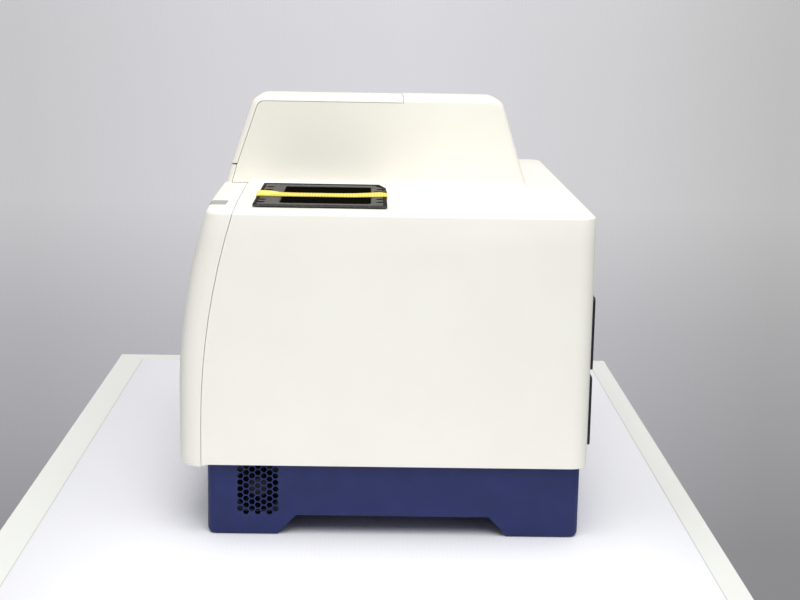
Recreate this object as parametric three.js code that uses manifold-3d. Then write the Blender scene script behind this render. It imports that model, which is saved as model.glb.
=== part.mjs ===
// Bench-top cell imaging system: a white moulded housing on a blue base pan, with a raised hood
// whose L-shaped lid hinges open over a motorised stage, objectives, light cubes and a camera.
// Millimetres, +Z up, front towards -Y, the instrument's right-hand side towards +X.
// The origin is on the table under the middle of the footprint.
import * as THREE from "three";
import { mergeVertices } from "three/addons/utils/BufferGeometryUtils.js";
import Module from "manifold-3d";

const wasm = await Module();
wasm.setup();

// Driving dimensions of the housing
const WIDTH = 457;
const REAR_Y = 163.5;
const FRONT_Y = -168;
const BODY_TOP = 265;
const COVER_BOTTOM = 60;
const PANEL_BOTTOM = 58;
const WALL = 3;
const SEAM_GAP = 0.4;
const FIT_GAP = 0.3;
const REAR_CORNER_R = 14;
const FRONT_CORNER_R = 16;
const EDGE_R = 2.5;
const FOOT_R = 5;

// The front face is an arc that leans back from its foremost line; the seam behind it is another.
// Seen from above both swell forwards a little between the corners, most at the top: the front
// stays nearly straight until close to its corners, the seam bends evenly.
const FRONT_ARC = { y: FRONT_Y, z: 117, radius: 488 };
const SEAM_ARC = { y: -149.8, z: 94, radius: 585 };
const FRONT_BOW = { amount: 3.8, power: 4 };
const SEAM_BOW = { amount: 3.2, power: 2 };
const BOW_FOOT = 87;

// Hood over the left part of the body
const HOOD_NEAR_X = 28;
const HOOD_FAR_X = -192;
const CROWN_TOP = 344.4;
const CROWN_X = 25;
const CROWN_R = 2000;
const HOOD_EDGE_R = 5;
const HOOD_FRONT_R = 12;
const HOOD_REAR_R = 12;
const FLARE_R = 4;
const RISER_FOOT_Y = -147;
const RISER_TOP = 281.3;
const LID_SLOPE = 0.339;
const LID_FOOT_Y = -142.9;
const REAR_SLOPE = 0.31;
const HOOD_REAR_FOOT_Y = 125.6;
const LID_FOOT_GAP = 1.4;
const LID_RIM = 5.05;
const LID_INSET = 5.6;
const LID_SKIN = 2.6;
const LID_DROP = 0.5;
const HINGE_Y = 12.5;
const HINGE_Z = 344;

// Base pan
const BASE_HALF = 222.5;
const BASE_FRONT = -145.5;
const BASE_REAR = 158;
const BASE_BOTTOM = 1;
const BASE_FLOOR = 16.5;
const BASE_WALL = 2;
const NOTCH_FRONT = -73;
const NOTCH_REAR = 84;
const BASE_EDGE_R = 5;
const BASE_CORNER_R = 8;
const VENT = { y: -104.2, z: 38.3, pitch: 5.5, hole: 4.6, columns: 7, rows: 7 };
const FEET = [
  [-200, -117],
  [200, -117],
  [-200, 129],
  [200, 129],
];
const OPTICS_POSTS = [
  [-200, -100],
  [60, -100],
  [-200, 115],
  [60, 115],
];
const TRAY_POSTS = [
  [88, -112],
  [190, -112],
  [88, 125],
  [212, 125],
];

// Rear connector panels and exhaust slots
const PANEL_X0 = 60;
const PANEL_X1 = 208;
const PANEL_THICK = 3.2;
const UPPER_PANEL = { z0: 137.6, z1: 197.3 };
const LOWER_PANEL = { z0: 74.5, z1: 131.7 };
const DATA_CAVITIES = [
  [82, 94, 163.5, 168.5, 11],
  [82, 94, 171.5, 176.5, 11],
  [106, 118, 164, 172, 13],
  [110, 114, 171, 174.5, 13],
];
const SWITCH = { x: 128, z: 102, width: 12.4, height: 19, tilt: 9 };
const PORTS = {
  inlet: [76, 104, 92, 112],
  power: [120, 136, 90, 114],
  data: [80, 126, 161, 179],
};
const EXHAUST = { x: -180, z: 170, slots: 10, pitch: 11, width: 4, height: 46 };

// Inside: optics plate, stage, objective turret, light cubes and electronics tray
const AXIS_X = -82;
const AXIS_Y = -20;
const PLATE_Z = 40;
const PLATE_THICK = 8;
const TRAY_Z = 60.8;
const STAGE_BASE_Z = 218;
const STAGE_THICK = 8;
const Y_SCREW = { x: -170, z: 229.4, radius: 2 };
const X_SCREW = { y: -75, z: 243.9, radius: 2 };
const TURRET_R = 50;
const TURRET_Z = 160;
const NOSE_R = 34;
const OBJECTIVES = [
  { tip: 226, barrel: 13.5, nose: 6 },
  { tip: 224, barrel: 13.5, nose: 8 },
  { tip: 221, barrel: 12.5, nose: 9 },
  { tip: 213, barrel: 12.5, nose: 10 },
];
const CUBE = { side: 34, pitch: 36, z: 101.3, count: 3 };
const DECK_Z = 259.7;

// Hidden lid hinge: an arc arm slides in a guide, about a line in the lid's top rear edge
const HINGE_XS = { left: -110, right: 5 };
const HINGE_ARM_R = 16;
const HINGE_ARM_THICK = 2.4;
const HINGE_ARM_WIDE = 6;

// Vessel holder that lies on the right wing, with an elastic band round it
const HOLDER = { x0: 46.5, x1: 195, y0: -111, y1: -2.6, z0: 266.1, z1: 267.4, floor: 266.6 };
const HOLDER_WINDOW = { x0: 68, x1: 182.5, y0: -90.7, y1: -15.2 };
const HOLDER_SLOTS = [
  [75.4, -103.4],
  [95.9, -103.4],
  [161.5, -105.3],
  [176.9, -105.3],
  [64, -7.8],
  [83.7, -7.8],
  [151, -8.3],
  [170, -8.3],
];
const HOLDER_PADS = [
  [58, -99],
  [188, -101],
  [58, -19],
  [186, -10],
];
const BAND = { front: [109.5, 143.5], middle: [121, 142.5], rear: [103, 135], thick: 0.5 };

// Grey status lens that wraps over the front top edge
const LENS = { x0: 154, x1: 180, back: -133.9, low: 257 };

const ROUND = 24;
const SMALL_ROUND = 16;

const paint = (color, roughness, metalness = 0) =>
  new THREE.MeshStandardMaterial({ color, roughness, metalness });

const FINISH = {
  white: paint(0xf4f2ea, 0.45),
  blue: paint(0x2f3b73, 0.5),
  rubber: paint(0x1c1c1e, 0.9),
  dark: paint(0x23262c, 0.6),
  anodised: paint(0x3c3d40, 0.45, 0.6),
  aluminium: paint(0xb9bcc0, 0.35, 0.9),
  steel: paint(0x9a9da1, 0.3, 1),
  brass: paint(0xb99a52, 0.35, 1),
  board: paint(0x1f5a3a, 0.55),
  glass: paint(0xcfe0e6, 0.05),
  lens: paint(0x8f9285, 0.3),
  band: paint(0xe8cf4a, 0.6),
};

// Shape planes: "xy" pushed along Z, "yz" pushed along X, "xz" pushed along Y
const TURN = {
  xy: new THREE.Matrix4(),
  yz: new THREE.Matrix4().makeBasis(
    new THREE.Vector3(0, 1, 0),
    new THREE.Vector3(0, 0, 1),
    new THREE.Vector3(1, 0, 0),
  ),
  xz: new THREE.Matrix4().makeBasis(
    new THREE.Vector3(1, 0, 0),
    new THREE.Vector3(0, 0, 1),
    new THREE.Vector3(0, -1, 0),
  ),
};

// A closed three.js geometry as a solid that can be joined and cut
function solid(geometry) {
  const loose = geometry.index ? geometry.toNonIndexed() : geometry;
  const bare = new THREE.BufferGeometry().setAttribute("position", loose.getAttribute("position"));
  const merged = mergeVertices(bare, 1e-4);
  return new wasm.Manifold(
    new wasm.Mesh({
      numProp: 3,
      vertProperties: merged.getAttribute("position").array,
      triVerts: new Uint32Array(merged.index.array),
    }),
  );
}

// A flat outline pushed from one level to another, square to its plane
function prism(shape, plane, from, to) {
  const geometry = new THREE.ExtrudeGeometry(shape, {
    depth: to - from,
    bevelEnabled: false,
    curveSegments: SMALL_ROUND / 2,
  });
  geometry.translate(0, 0, plane === "xz" ? -to : from);
  return solid(geometry.applyMatrix4(TURN[plane]));
}

function box(x0, x1, y0, y1, z0, z1) {
  const geometry = new THREE.BoxGeometry(x1 - x0, y1 - y0, z1 - z0);
  return solid(geometry.translate((x0 + x1) / 2, (y0 + y1) / 2, (z0 + z1) / 2));
}

// A round bar between two levels along X, Y or Z, centred on the other two coordinates
function rod(along, centre, from, to, radius, facets = ROUND) {
  const geometry = new THREE.CylinderGeometry(radius, radius, to - from, facets);
  geometry.translate(0, (from + to) / 2, 0);
  const [a, b] = centre;
  if (along === "z") return solid(geometry.rotateX(Math.PI / 2).translate(a, b, 0));
  if (along === "x") return solid(geometry.rotateZ(-Math.PI / 2).translate(0, a, b));
  return solid(geometry.translate(a, 0, b));
}

// A turned piece about the vertical through (x, y): profile points are [radius, z], upwards
function turned(profile, x, y, facets = ROUND) {
  const points = profile.map(([radius, z]) => new THREE.Vector2(radius, z));
  const geometry = new THREE.LatheGeometry(points, facets);
  return solid(geometry.rotateX(Math.PI / 2).translate(x, y, 0));
}

const join = (...pieces) => pieces.reduce((sum, piece) => sum.add(piece));
const cut = (piece, ...tools) => tools.reduce((rest, tool) => rest.subtract(tool), piece);

// An outline from [u, v, radius] corners, with each rounded corner as an arc
function rounded(corners, perArc = 4) {
  const points = [];
  corners.forEach(([u, v, radius = 0], i) => {
    const corner = new THREE.Vector2(u, v);
    if (radius <= 0) {
      points.push(corner);
      return;
    }
    const [bu, bv] = corners[(i + corners.length - 1) % corners.length];
    const [au, av] = corners[(i + 1) % corners.length];
    const back = new THREE.Vector2(bu, bv).sub(corner).normalize();
    const ahead = new THREE.Vector2(au, av).sub(corner).normalize();
    const half = Math.acos(back.dot(ahead)) / 2;
    const middle = back.clone().add(ahead).normalize();
    const centre = corner.clone().addScaledVector(middle, radius / Math.sin(half));
    const start = corner.clone().addScaledVector(back, radius / Math.tan(half)).sub(centre);
    const end = corner.clone().addScaledVector(ahead, radius / Math.tan(half)).sub(centre);
    let sweep = end.angle() - start.angle();
    if (sweep > Math.PI) sweep -= 2 * Math.PI;
    if (sweep < -Math.PI) sweep += 2 * Math.PI;
    for (let k = 0; k <= perArc; k++) {
      const angle = start.angle() + (sweep * k) / perArc;
      points.push(
        new THREE.Vector2(Math.cos(angle), Math.sin(angle)).multiplyScalar(radius).add(centre),
      );
    }
  });
  return new THREE.Shape(points);
}

const rectangle = (u0, u1, v0, v1, radius = 0) =>
  rounded([
    [u0, v0, radius],
    [u1, v0, radius],
    [u1, v1, radius],
    [u0, v1, radius],
  ]);

const roundedBox = (x0, x1, y0, y1, z0, z1, radius) =>
  prism(rectangle(x0, x1, y0, y1, radius), "xy", z0, z1);

// The front face or the seam at a height: y on an arc that is vertical at its lowest point
const arcY = (arc, z, inset = 0) =>
  arc.y + arc.radius - Math.sqrt((arc.radius - inset) ** 2 - Math.max(0, z - arc.z) ** 2);

// Points of such an arc from a high level down to a low one
function arcPoints(arc, high, low, inset, steps = 8) {
  const points = [];
  for (let k = 0; k <= steps; k++) {
    const z = high + ((arc.z - high) * k) / steps;
    points.push([arcY(arc, z, inset), z]);
  }
  points.push([arcY(arc, arc.z, inset), low]);
  return points;
}

// How far the front or its seam swells forwards at a place
function swell({ amount, power }, x, z) {
  const rise = THREE.MathUtils.clamp((z - BOW_FOOT) / (BODY_TOP - BOW_FOOT), 0, 1);
  return amount * rise * (1 - (2 * x / WIDTH) ** power);
}

// Outline of the body at a height, all round moved in by inset and pull, its front also by foot
function bodyRing(z, inset, pull, foot) {
  const half = WIDTH / 2 - inset - pull;
  const rear = REAR_Y - inset - pull;
  const frontR = FRONT_CORNER_R - inset - pull;
  const rearR = REAR_CORNER_R - inset - pull;
  const front = (x) => arcY(FRONT_ARC, z, inset) + pull + foot - swell(FRONT_BOW, x, z);
  const ring = [];
  const corner = (x, y, radius, from) => {
    for (let k = 0; k <= 4; k++) {
      const angle = from + (Math.PI / 8) * k;
      ring.push([x + radius * Math.cos(angle), y + radius * Math.sin(angle), z]);
    }
  };
  const reach = half - frontR;
  corner(-reach, front(reach) + frontR, frontR, Math.PI);
  for (let k = 1; k < 10; k++) {
    const x = reach * (k / 5 - 1);
    ring.push([x, front(x), z]);
  }
  corner(reach, front(reach) + frontR, frontR, -Math.PI / 2);
  corner(half - rearR, rear - rearR, rearR, 0);
  corner(rearR - half, rear - rearR, rearR, Math.PI / 2);
  return ring;
}

// Solid of the whole body without its hood, each face moved in by inset, its top edge rolled over
function bodySolid(inset) {
  const top = BODY_TOP - inset;
  const edge = Math.max(EDGE_R - inset, 1);
  const quarter = (steps) => Array.from({ length: steps + 1 }, (_, k) => (Math.PI / 2 / steps) * k);
  const rings = inset
    ? [bodyRing(PANEL_BOTTOM - 1, inset, 0, 0)]
    : quarter(3).map((turn) =>
        bodyRing(PANEL_BOTTOM + FOOT_R * (1 - Math.cos(turn)), 0, 0, FOOT_R * (1 - Math.sin(turn))),
      );
  for (let k = 0; k < 9; k++) {
    rings.push(bodyRing(BOW_FOOT + ((top - edge - BOW_FOOT) * k) / 9, inset, 0, 0));
  }
  quarter(inset ? 1 : 3).forEach((turn) => {
    rings.push(bodyRing(top - edge + edge * Math.sin(turn), inset, edge * (1 - Math.cos(turn)), 0));
  });
  return loft(rings, ([x, y]) => new THREE.Vector2(x, y));
}

// A side outline pushed across the whole width, with its points bowed forwards
function bowed(outline, half, bow, bays = 8) {
  const points = outline.getPoints();
  const rings = [];
  for (let k = 0; k <= bays; k++) {
    const x = -half + (2 * half * k) / bays;
    rings.push(points.map(({ x: y, y: z }) => [x, y - swell(bow, x, z), z]));
  }
  return loft(rings, ([, y, z]) => new THREE.Vector2(y, z));
}

// A closed solid through rings of equal point counts; flatten gives a ring's outline for its cap
function loft(rings, flatten) {
  const count = rings[0].length;
  const corners = [];
  for (let i = 0; i + 1 < rings.length; i++) {
    for (let j = 0; j < count; j++) {
      const next = (j + 1) % count;
      corners.push(rings[i][j], rings[i][next], rings[i + 1][next]);
      corners.push(rings[i][j], rings[i + 1][next], rings[i + 1][j]);
    }
  }
  const [first, last] = [rings[0], rings[rings.length - 1]];
  THREE.ShapeUtils.triangulateShape(first.map(flatten), []).forEach(([a, b, c]) => {
    corners.push(first[c], first[b], first[a]);
  });
  THREE.ShapeUtils.triangulateShape(last.map(flatten), []).forEach(([a, b, c]) => {
    corners.push(last[a], last[b], last[c]);
  });
  const geometry = new THREE.BufferGeometry();
  geometry.setAttribute("position", new THREE.Float32BufferAttribute(corners.flat(), 3));
  return solid(geometry);
}

// Height of the hood's gently domed top at x
const crown = (x) => CROWN_TOP - CROWN_R + Math.sqrt(CROWN_R ** 2 - (x - CROWN_X) ** 2);

// One upright slice of the hood at x, with every side moved in by inset and the top lowered by drop
function hoodSlice(x, inset, drop) {
  const top = crown(x) - inset - drop;
  const foot = BODY_TOP - 20;
  const kink = RISER_TOP + 0.5;
  const riserLean = (LID_FOOT_Y - RISER_FOOT_Y) / (kink - BODY_TOP);
  const lidLine = (z) => LID_FOOT_Y + inset * Math.hypot(1, LID_SLOPE) + (z - kink) * LID_SLOPE;
  const rearLine = (z) => HOOD_REAR_FOOT_Y - inset * Math.hypot(1, REAR_SLOPE) - (z - BODY_TOP) * REAR_SLOPE;
  const outline = rounded(
    [
      [rearLine(foot), foot],
      [rearLine(top), top, HOOD_REAR_R - inset],
      [lidLine(top), top, HOOD_FRONT_R - inset],
      [lidLine(kink), kink],
      [lidLine(kink) - riserLean * (kink - foot), foot],
    ],
    7,
  );
  return outline.getPoints().map(({ x: y, y: z }) => [x, y, z]);
}

// The hood as slices from its far wall to its near wall, drawn in round the edges of both walls
function hoodSolid(inset, drop = 0) {
  const near = HOOD_NEAR_X - inset;
  const far = HOOD_FAR_X + inset;
  const edge = HOOD_EDGE_R - inset;
  const roll = edge > 0 ? [0, 1, 2, 3, 4].map((k) => (Math.PI / 8) * k) : [Math.PI / 2];
  const pulls = roll.map((angle) => [
    Math.max(0, edge) * (1 - Math.cos(angle)),
    Math.max(0, edge) * (1 - Math.sin(angle)),
  ]);
  const bays = 8;
  const slices = pulls.map(([away, pull]) => [far + away, pull]);
  for (let k = 1; k < bays; k++) slices.push([far + ((near - far) * k) / bays, 0]);
  slices.push(...pulls.reverse().map(([away, pull]) => [near - away, pull]));
  const rings = slices.map(([x, pull]) => hoodSlice(x, inset + pull, drop));
  return loft(rings, ([, y, z]) => new THREE.Vector2(y, z));
}

// The concave blend where the hood's two side walls and rear wall meet the body's top
function hoodFlares() {
  const front = arcY(SEAM_ARC, BODY_TOP);
  const ring = (out, up) => {
    const rear = HOOD_REAR_FOOT_Y + out - up * REAR_SLOPE;
    const outline = rounded([
      [HOOD_FAR_X - out, front],
      [HOOD_NEAR_X + out, front],
      [HOOD_NEAR_X + out, rear, HOOD_EDGE_R + out],
      [HOOD_FAR_X - out, rear, HOOD_EDGE_R + out],
    ]);
    return outline.getPoints().map(({ x, y }) => [x, y, BODY_TOP + up]);
  };
  const rings = [ring(FLARE_R, -1)];
  for (let k = 0; k <= 5; k++) {
    const angle = (Math.PI / 10) * k;
    rings.push(ring(FLARE_R * (1 - Math.sin(angle)), FLARE_R * (1 - Math.cos(angle))));
  }
  return loft(rings, ([x, y]) => new THREE.Vector2(x, y));
}

// The part of the body in front of the upright seam, and the strip of hood front under the lid
function frontZone(gap) {
  const seam = arcPoints(SEAM_ARC, BODY_TOP + gap, COVER_BOTTOM - 10, 0).map(([y, z]) => [y + gap, z]);
  const below = rounded([[FRONT_Y - 20, BODY_TOP + gap], [FRONT_Y - 20, COVER_BOTTOM - 10], ...seam.reverse()]);
  const riserSeam = (z) => -141.7 + (z - BODY_TOP) * 0.266 + gap;
  const riser = rounded([
    [FRONT_Y, BODY_TOP - 1],
    [riserSeam(BODY_TOP - 1), BODY_TOP - 1],
    [riserSeam(RISER_TOP), RISER_TOP],
    [FRONT_Y, RISER_TOP],
  ]);
  return join(
    bowed(below, WIDTH / 2 + 1, SEAM_BOW),
    prism(riser, "yz", HOOD_FAR_X - 1, HOOD_NEAR_X + 1),
  );
}

// The part of the hood that lifts: everything outside the seam that runs up its front and back
// along its top to the hinge line
function lidZone(gap) {
  const foot = RISER_TOP + (gap ? 0 : LID_FOOT_GAP);
  const back = HINGE_Y - 0.3 + gap;
  const line = (z) => LID_FOOT_Y + LID_INSET + (z - RISER_TOP) * LID_SLOPE + gap;
  const rings = [];
  for (let k = 0; k <= 8; k++) {
    const x = HOOD_FAR_X - 2 + ((HOOD_NEAR_X - HOOD_FAR_X + 4) * k) / 8;
    const top = crown(x) - LID_RIM - gap;
    const outline = rounded([
      [FRONT_Y, foot],
      [line(foot), foot],
      [line(top), top, HOOD_FRONT_R - LID_RIM],
      [back, top],
      [back, CROWN_TOP + 20],
      [FRONT_Y, CROWN_TOP + 20],
    ]);
    rings.push(outline.getPoints().map(({ x: y, y: z }) => [x, y, z]));
  }
  return loft(rings, ([, y, z]) => new THREE.Vector2(y, z));
}

// Rear wall cut-outs behind the two connector panels, and a row of upright exhaust slots
function rearCutouts() {
  const slots = [];
  const [from, to] = [REAR_Y - 6, REAR_Y + 6];
  for (let k = 0; k < EXHAUST.slots; k++) {
    const x = EXHAUST.x + k * EXHAUST.pitch;
    const outline = rectangle(x, x + EXHAUST.width, EXHAUST.z, EXHAUST.z + EXHAUST.height, 1.4);
    slots.push(prism(outline, "xz", from, to));
  }
  const windows = [UPPER_PANEL, LOWER_PANEL].map(({ z0, z1 }) =>
    box(PANEL_X0 + 8, PANEL_X1 - 8, from, to, z0 + 8, z1 - 8),
  );
  return join(...slots, ...windows);
}

// A hexagon with flats up and down, as the press tool of the side vent cuts it
function hexagon(y, z, acrossFlats) {
  const radius = acrossFlats / Math.sqrt(3);
  const corners = [];
  for (let k = 0; k < 6; k++) {
    const angle = (Math.PI / 3) * k;
    corners.push([y + radius * Math.cos(angle), z + radius * Math.sin(angle)]);
  }
  return rounded(corners);
}

// Side vent: columns of hexagons, every other column half a pitch out of step and one hole longer
function ventHoles(from, to) {
  const holes = [];
  const step = (VENT.pitch * Math.sqrt(3)) / 2;
  for (let column = 0; column < VENT.columns; column++) {
    const count = column % 2 ? VENT.rows + 1 : VENT.rows;
    const y = VENT.y + (column - (VENT.columns - 1) / 2) * step;
    for (let row = 0; row < count; row++) {
      const z = VENT.z + (row - (count - 1) / 2) * VENT.pitch;
      holes.push(prism(hexagon(y, z, VENT.hole), "yz", from, to));
    }
  }
  return join(...holes);
}

function baseSide(inset) {
  const drop = BASE_FLOOR - BASE_BOTTOM;
  const top = COVER_BOTTOM - FIT_GAP + (inset ? 5 : 0);
  const lean = inset * (Math.SQRT2 - 1);
  return rounded([
    [BASE_FRONT + inset, top],
    [BASE_FRONT + inset, BASE_BOTTOM + inset, BASE_EDGE_R - inset],
    [NOTCH_FRONT - drop - lean, BASE_BOTTOM + inset],
    [NOTCH_FRONT - lean, BASE_FLOOR + inset],
    [NOTCH_REAR + lean, BASE_FLOOR + inset],
    [NOTCH_REAR + drop + lean, BASE_BOTTOM + inset],
    [BASE_REAR - inset, BASE_BOTTOM + inset, BASE_EDGE_R - inset],
    [BASE_REAR - inset, top],
  ]);
}

function basePan() {
  const shell = (inset) => {
    const half = BASE_HALF - inset;
    const plan = rectangle(-half, half, BASE_FRONT + inset, BASE_REAR - inset, BASE_CORNER_R - inset);
    return prism(baseSide(inset), "yz", -half, half).intersect(prism(plan, "xy", 0, COVER_BOTTOM + 10));
  };
  const ring = (grow, z0, z1) => {
    const [x, front, rear] = [BASE_HALF + grow, BASE_FRONT, BASE_REAR + grow * 0.8];
    const inner = BASE_HALF - BASE_WALL;
    return cut(
      roundedBox(-x, x, front, rear, z0, z1, BASE_CORNER_R + 1.4 * grow),
      roundedBox(-inner, inner, front + BASE_WALL, BASE_REAR - BASE_WALL, z0 - 1, z1 + 1, BASE_CORNER_R - BASE_WALL),
    );
  };
  const collar = join(ring(0, COVER_BOTTOM - 1, COVER_BOTTOM + 1), ring(2.7, COVER_BOTTOM + FIT_GAP, COVER_BOTTOM + 10));
  const posts = OPTICS_POSTS.map(([x, y]) => box(x - 6, x + 6, y - 6, y + 6, BASE_BOTTOM + 1, PLATE_Z - FIT_GAP));
  const trayPosts = TRAY_POSTS.map(([x, y]) => box(x - 4, x + 4, y - 4, y + 4, BASE_BOTTOM + 1, TRAY_Z - FIT_GAP));
  const holes = FEET.map(([x, y]) => rod("z", [x, y], 0, 10, 4.4, SMALL_ROUND));
  return cut(
    join(cut(shell(0), shell(BASE_WALL)), collar, ...posts, ...trayPosts),
    ventHoles(BASE_HALF - 5, BASE_HALF + 5),
    ...holes,
  );
}

// Push-in rubber foot: a low disc, a stem through the pan and a bulb that holds it
function foot([x, y]) {
  const profile = [
    [0, 0],
    [11, 0],
    [12, BASE_BOTTOM - FIT_GAP],
    [4, BASE_BOTTOM - FIT_GAP],
    [4, BASE_BOTTOM + BASE_WALL + FIT_GAP],
    [6, BASE_BOTTOM + BASE_WALL + FIT_GAP],
    [4.5, 7],
    [0, 7.5],
  ];
  return turned(profile, x, y, SMALL_ROUND);
}

// A flat plate with one rounded opening
function framePlate(outer, hole, z0, z1, radius = 4) {
  const [x0, x1, y0, y1] = outer;
  const [hx0, hx1, hy0, hy1] = hole;
  return roundedBox(x0, x1, y0, y1, z0, z1, radius).subtract(
    roundedBox(hx0, hx1, hy0, hy1, z0 - 1, z1 + 1, radius),
  );
}

const stageBase = () =>
  framePlate([-210, 50, -120, 105], [-152, -12, -85, 70], STAGE_BASE_Z, STAGE_BASE_Z + STAGE_THICK, 8);

const focusMotor = () =>
  join(
    roundedBox(AXIS_X - 14, AXIS_X + 14, 52, 79.7, 56.7, 92, 2),
    rod("z", [AXIS_X, 68], 91, 105, 2.5, SMALL_ROUND),
  );

// Upright side plate of the stage frame, with a large window and two feet
function stageColumn(x0, x1) {
  const window = rectangle(-80, 70, 80, 190, 18);
  return cut(
    box(x0, x1, -110, 100, PLATE_Z + PLATE_THICK + FIT_GAP, STAGE_BASE_Z - FIT_GAP),
    prism(window, "yz", x0 - 1, x1 + 1),
  );
}

function yCarriage() {
  const z0 = 232.6;
  const z1 = 240.6;
  const nut = cut(
    box(Y_SCREW.x - 5, Y_SCREW.x + 5, -28, -12, STAGE_BASE_Z + STAGE_THICK + 0.5, z0 + 1),
    rod("y", [Y_SCREW.x, Y_SCREW.z], -30, -10, Y_SCREW.radius + FIT_GAP, SMALL_ROUND),
  );
  return join(
    framePlate([-205, 41, -90, 50], [-152, -12, -70, 30], z0, z1),
    roundedBox(30, 82, -90, -60, z0, z1, 4),
    nut,
  );
}

function xCarriage() {
  const z0 = 246.2;
  const z1 = 254.2;
  const recess = 251;
  const nut = cut(
    box(-20, -6, X_SCREW.y - 4, X_SCREW.y + 4, 241, z0 + 1),
    rod("x", [X_SCREW.y, X_SCREW.z], -22, -4, X_SCREW.radius + FIT_GAP, SMALL_ROUND),
  );
  return join(
    cut(
      framePlate([-177, 13, -90, 50], [-155, -9, -69, 29], z0, z1),
      roundedBox(-160.5, -3.5, -74.5, 34.5, recess, z1 + 1, 3),
    ),
    nut,
  );
}

// Upright column with the focus rail on its front
function focusColumn() {
  const z0 = PLATE_Z + PLATE_THICK + FIT_GAP;
  const z1 = STAGE_BASE_Z - FIT_GAP;
  return join(
    box(AXIS_X - 35, AXIS_X + 35, 80, 92, z0, z1),
    box(AXIS_X - 8, AXIS_X + 8, 74.3, 80.5, z0 + 50, z1),
    box(AXIS_X - 35, AXIS_X + 35, 60, 112, z0, z0 + 8),
  );
}

const turretY = AXIS_Y + NOSE_R;

// Focus carriage: a plate on the rail, an arm under the turret and the turret's hub pin
function focusCarriage() {
  return join(
    box(AXIS_X - 26, AXIS_X + 26, 66, 74, 112, 205),
    box(AXIS_X - 18, AXIS_X + 18, 0, 66.5, 147, 157),
    rod("z", [AXIS_X, turretY], 156, 174, 6),
    prism(rounded([[30, 147.5], [66.5, 120], [66.5, 147.5]]), "yz", AXIS_X - 4, AXIS_X + 4),
  );
}

const objectiveSpot = (k) => {
  const angle = -Math.PI / 2 + (2 * Math.PI * k) / OBJECTIVES.length;
  return [AXIS_X + NOSE_R * Math.cos(angle), turretY + NOSE_R * Math.sin(angle)];
};

function turret() {
  const disc = turned(
    [
      [0, TURRET_Z],
      [TURRET_R - 1, TURRET_Z],
      [TURRET_R, TURRET_Z + 1],
      [TURRET_R, TURRET_Z + 6],
      [TURRET_R - 4, TURRET_Z + 11],
      [0, TURRET_Z + 11],
    ],
    AXIS_X,
    turretY,
    40,
  );
  const bores = OBJECTIVES.map((_, k) => rod("z", objectiveSpot(k), TURRET_Z - 1, TURRET_Z + 12, 8, SMALL_ROUND));
  return cut(disc, rod("z", [AXIS_X, turretY], TURRET_Z - 1, TURRET_Z + 12, 6.4), ...bores);
}

function objective({ tip, barrel, nose }, k) {
  const seat = TURRET_Z + 11 + FIT_GAP;
  const [x, y] = objectiveSpot(k);
  const profile = [
    [0, seat],
    [11, seat],
    [11, seat + 3],
    [barrel, seat + 3],
    [barrel, tip - 22],
    [barrel - 1, tip - 21],
    [barrel - 1, tip - 12],
    [nose + 1, tip - 3],
    [nose, tip],
    [0, tip],
  ];
  return turned(profile, x, y, 20);
}

// Filter-and-lamp cube: a light path through it from top to bottom and a lamp port at its front
function lightCube(k) {
  const x = AXIS_X + (k - 1) * CUBE.pitch;
  const half = CUBE.side / 2;
  const top = CUBE.z + CUBE.side;
  return cut(
    box(x - half, x + half, AXIS_Y - half, AXIS_Y + half, CUBE.z, top),
    rod("z", [x, AXIS_Y], CUBE.z - 1, top + 1, 11, SMALL_ROUND),
    rod("y", [x, CUBE.z + half], AXIS_Y - half - 1, AXIS_Y, 8, SMALL_ROUND),
  );
}

function cubeCarriage() {
  const holes = [-1, 0, 1].map((k) => rod("z", [AXIS_X + k * CUBE.pitch, AXIS_Y], 95, 103, 11, SMALL_ROUND));
  return cut(box(AXIS_X - 56, AXIS_X + 56, -59, 2, 96, 101), ...holes);
}

// 45-degree mirror block under the light cubes
function foldMirror() {
  const [x0, x1] = [AXIS_X - 16, AXIS_X + 16];
  const foot = PLATE_Z + PLATE_THICK + FIT_GAP;
  return prism(rounded([[x0, foot], [x1, foot], [x1, 88], [x1 - 3, 88], [x0, 58]]), "xz", AXIS_Y - 16, AXIS_Y + 16);
}

function tubeLens() {
  const foot = PLATE_Z + PLATE_THICK + FIT_GAP;
  return join(
    rod("x", [AXIS_Y, 68], -141, -101, 14),
    rod("x", [AXIS_Y, 68], -130, -112, 16),
    box(-130, -112, AXIS_Y - 10, AXIS_Y + 10, foot, 60),
  );
}

function cameraModule() {
  const foot = PLATE_Z + PLATE_THICK + FIT_GAP;
  const grooves = [0, 1, 2, 3].map((k) => box(-190 + k * 9, -186 + k * 9, AXIS_Y - 23, AXIS_Y + 23, 87, 91));
  return cut(
    join(box(-193, -146, AXIS_Y - 22, AXIS_Y + 22, foot, 90), rod("x", [AXIS_Y, 68], -147, -141.4, 15)),
    ...grooves,
  );
}

// Illuminator: a post behind the stage, an arm over it and the lamp head on the optical axis
function illuminatorArm() {
  return join(
    box(AXIS_X - 30, AXIS_X + 30, 91, 101, STAGE_BASE_Z + STAGE_THICK + FIT_GAP, 320),
    roundedBox(AXIS_X - 20, AXIS_X + 20, -30, 101, 306, 321, 4),
    turned([[0, 300], [24, 300], [27, 303], [27, 324], [24, 328], [0, 328]], AXIS_X, AXIS_Y, 28),
    prism(rounded([[60, 306.5], [91.5, 270], [91.5, 306.5]]), "yz", AXIS_X - 5, AXIS_X + 5),
  );
}

const condenser = () =>
  turned([[0, 282], [13, 282], [15, 284], [15, 290], [20, 294], [20, 299.7], [0, 299.7]], AXIS_X, AXIS_Y);

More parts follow.
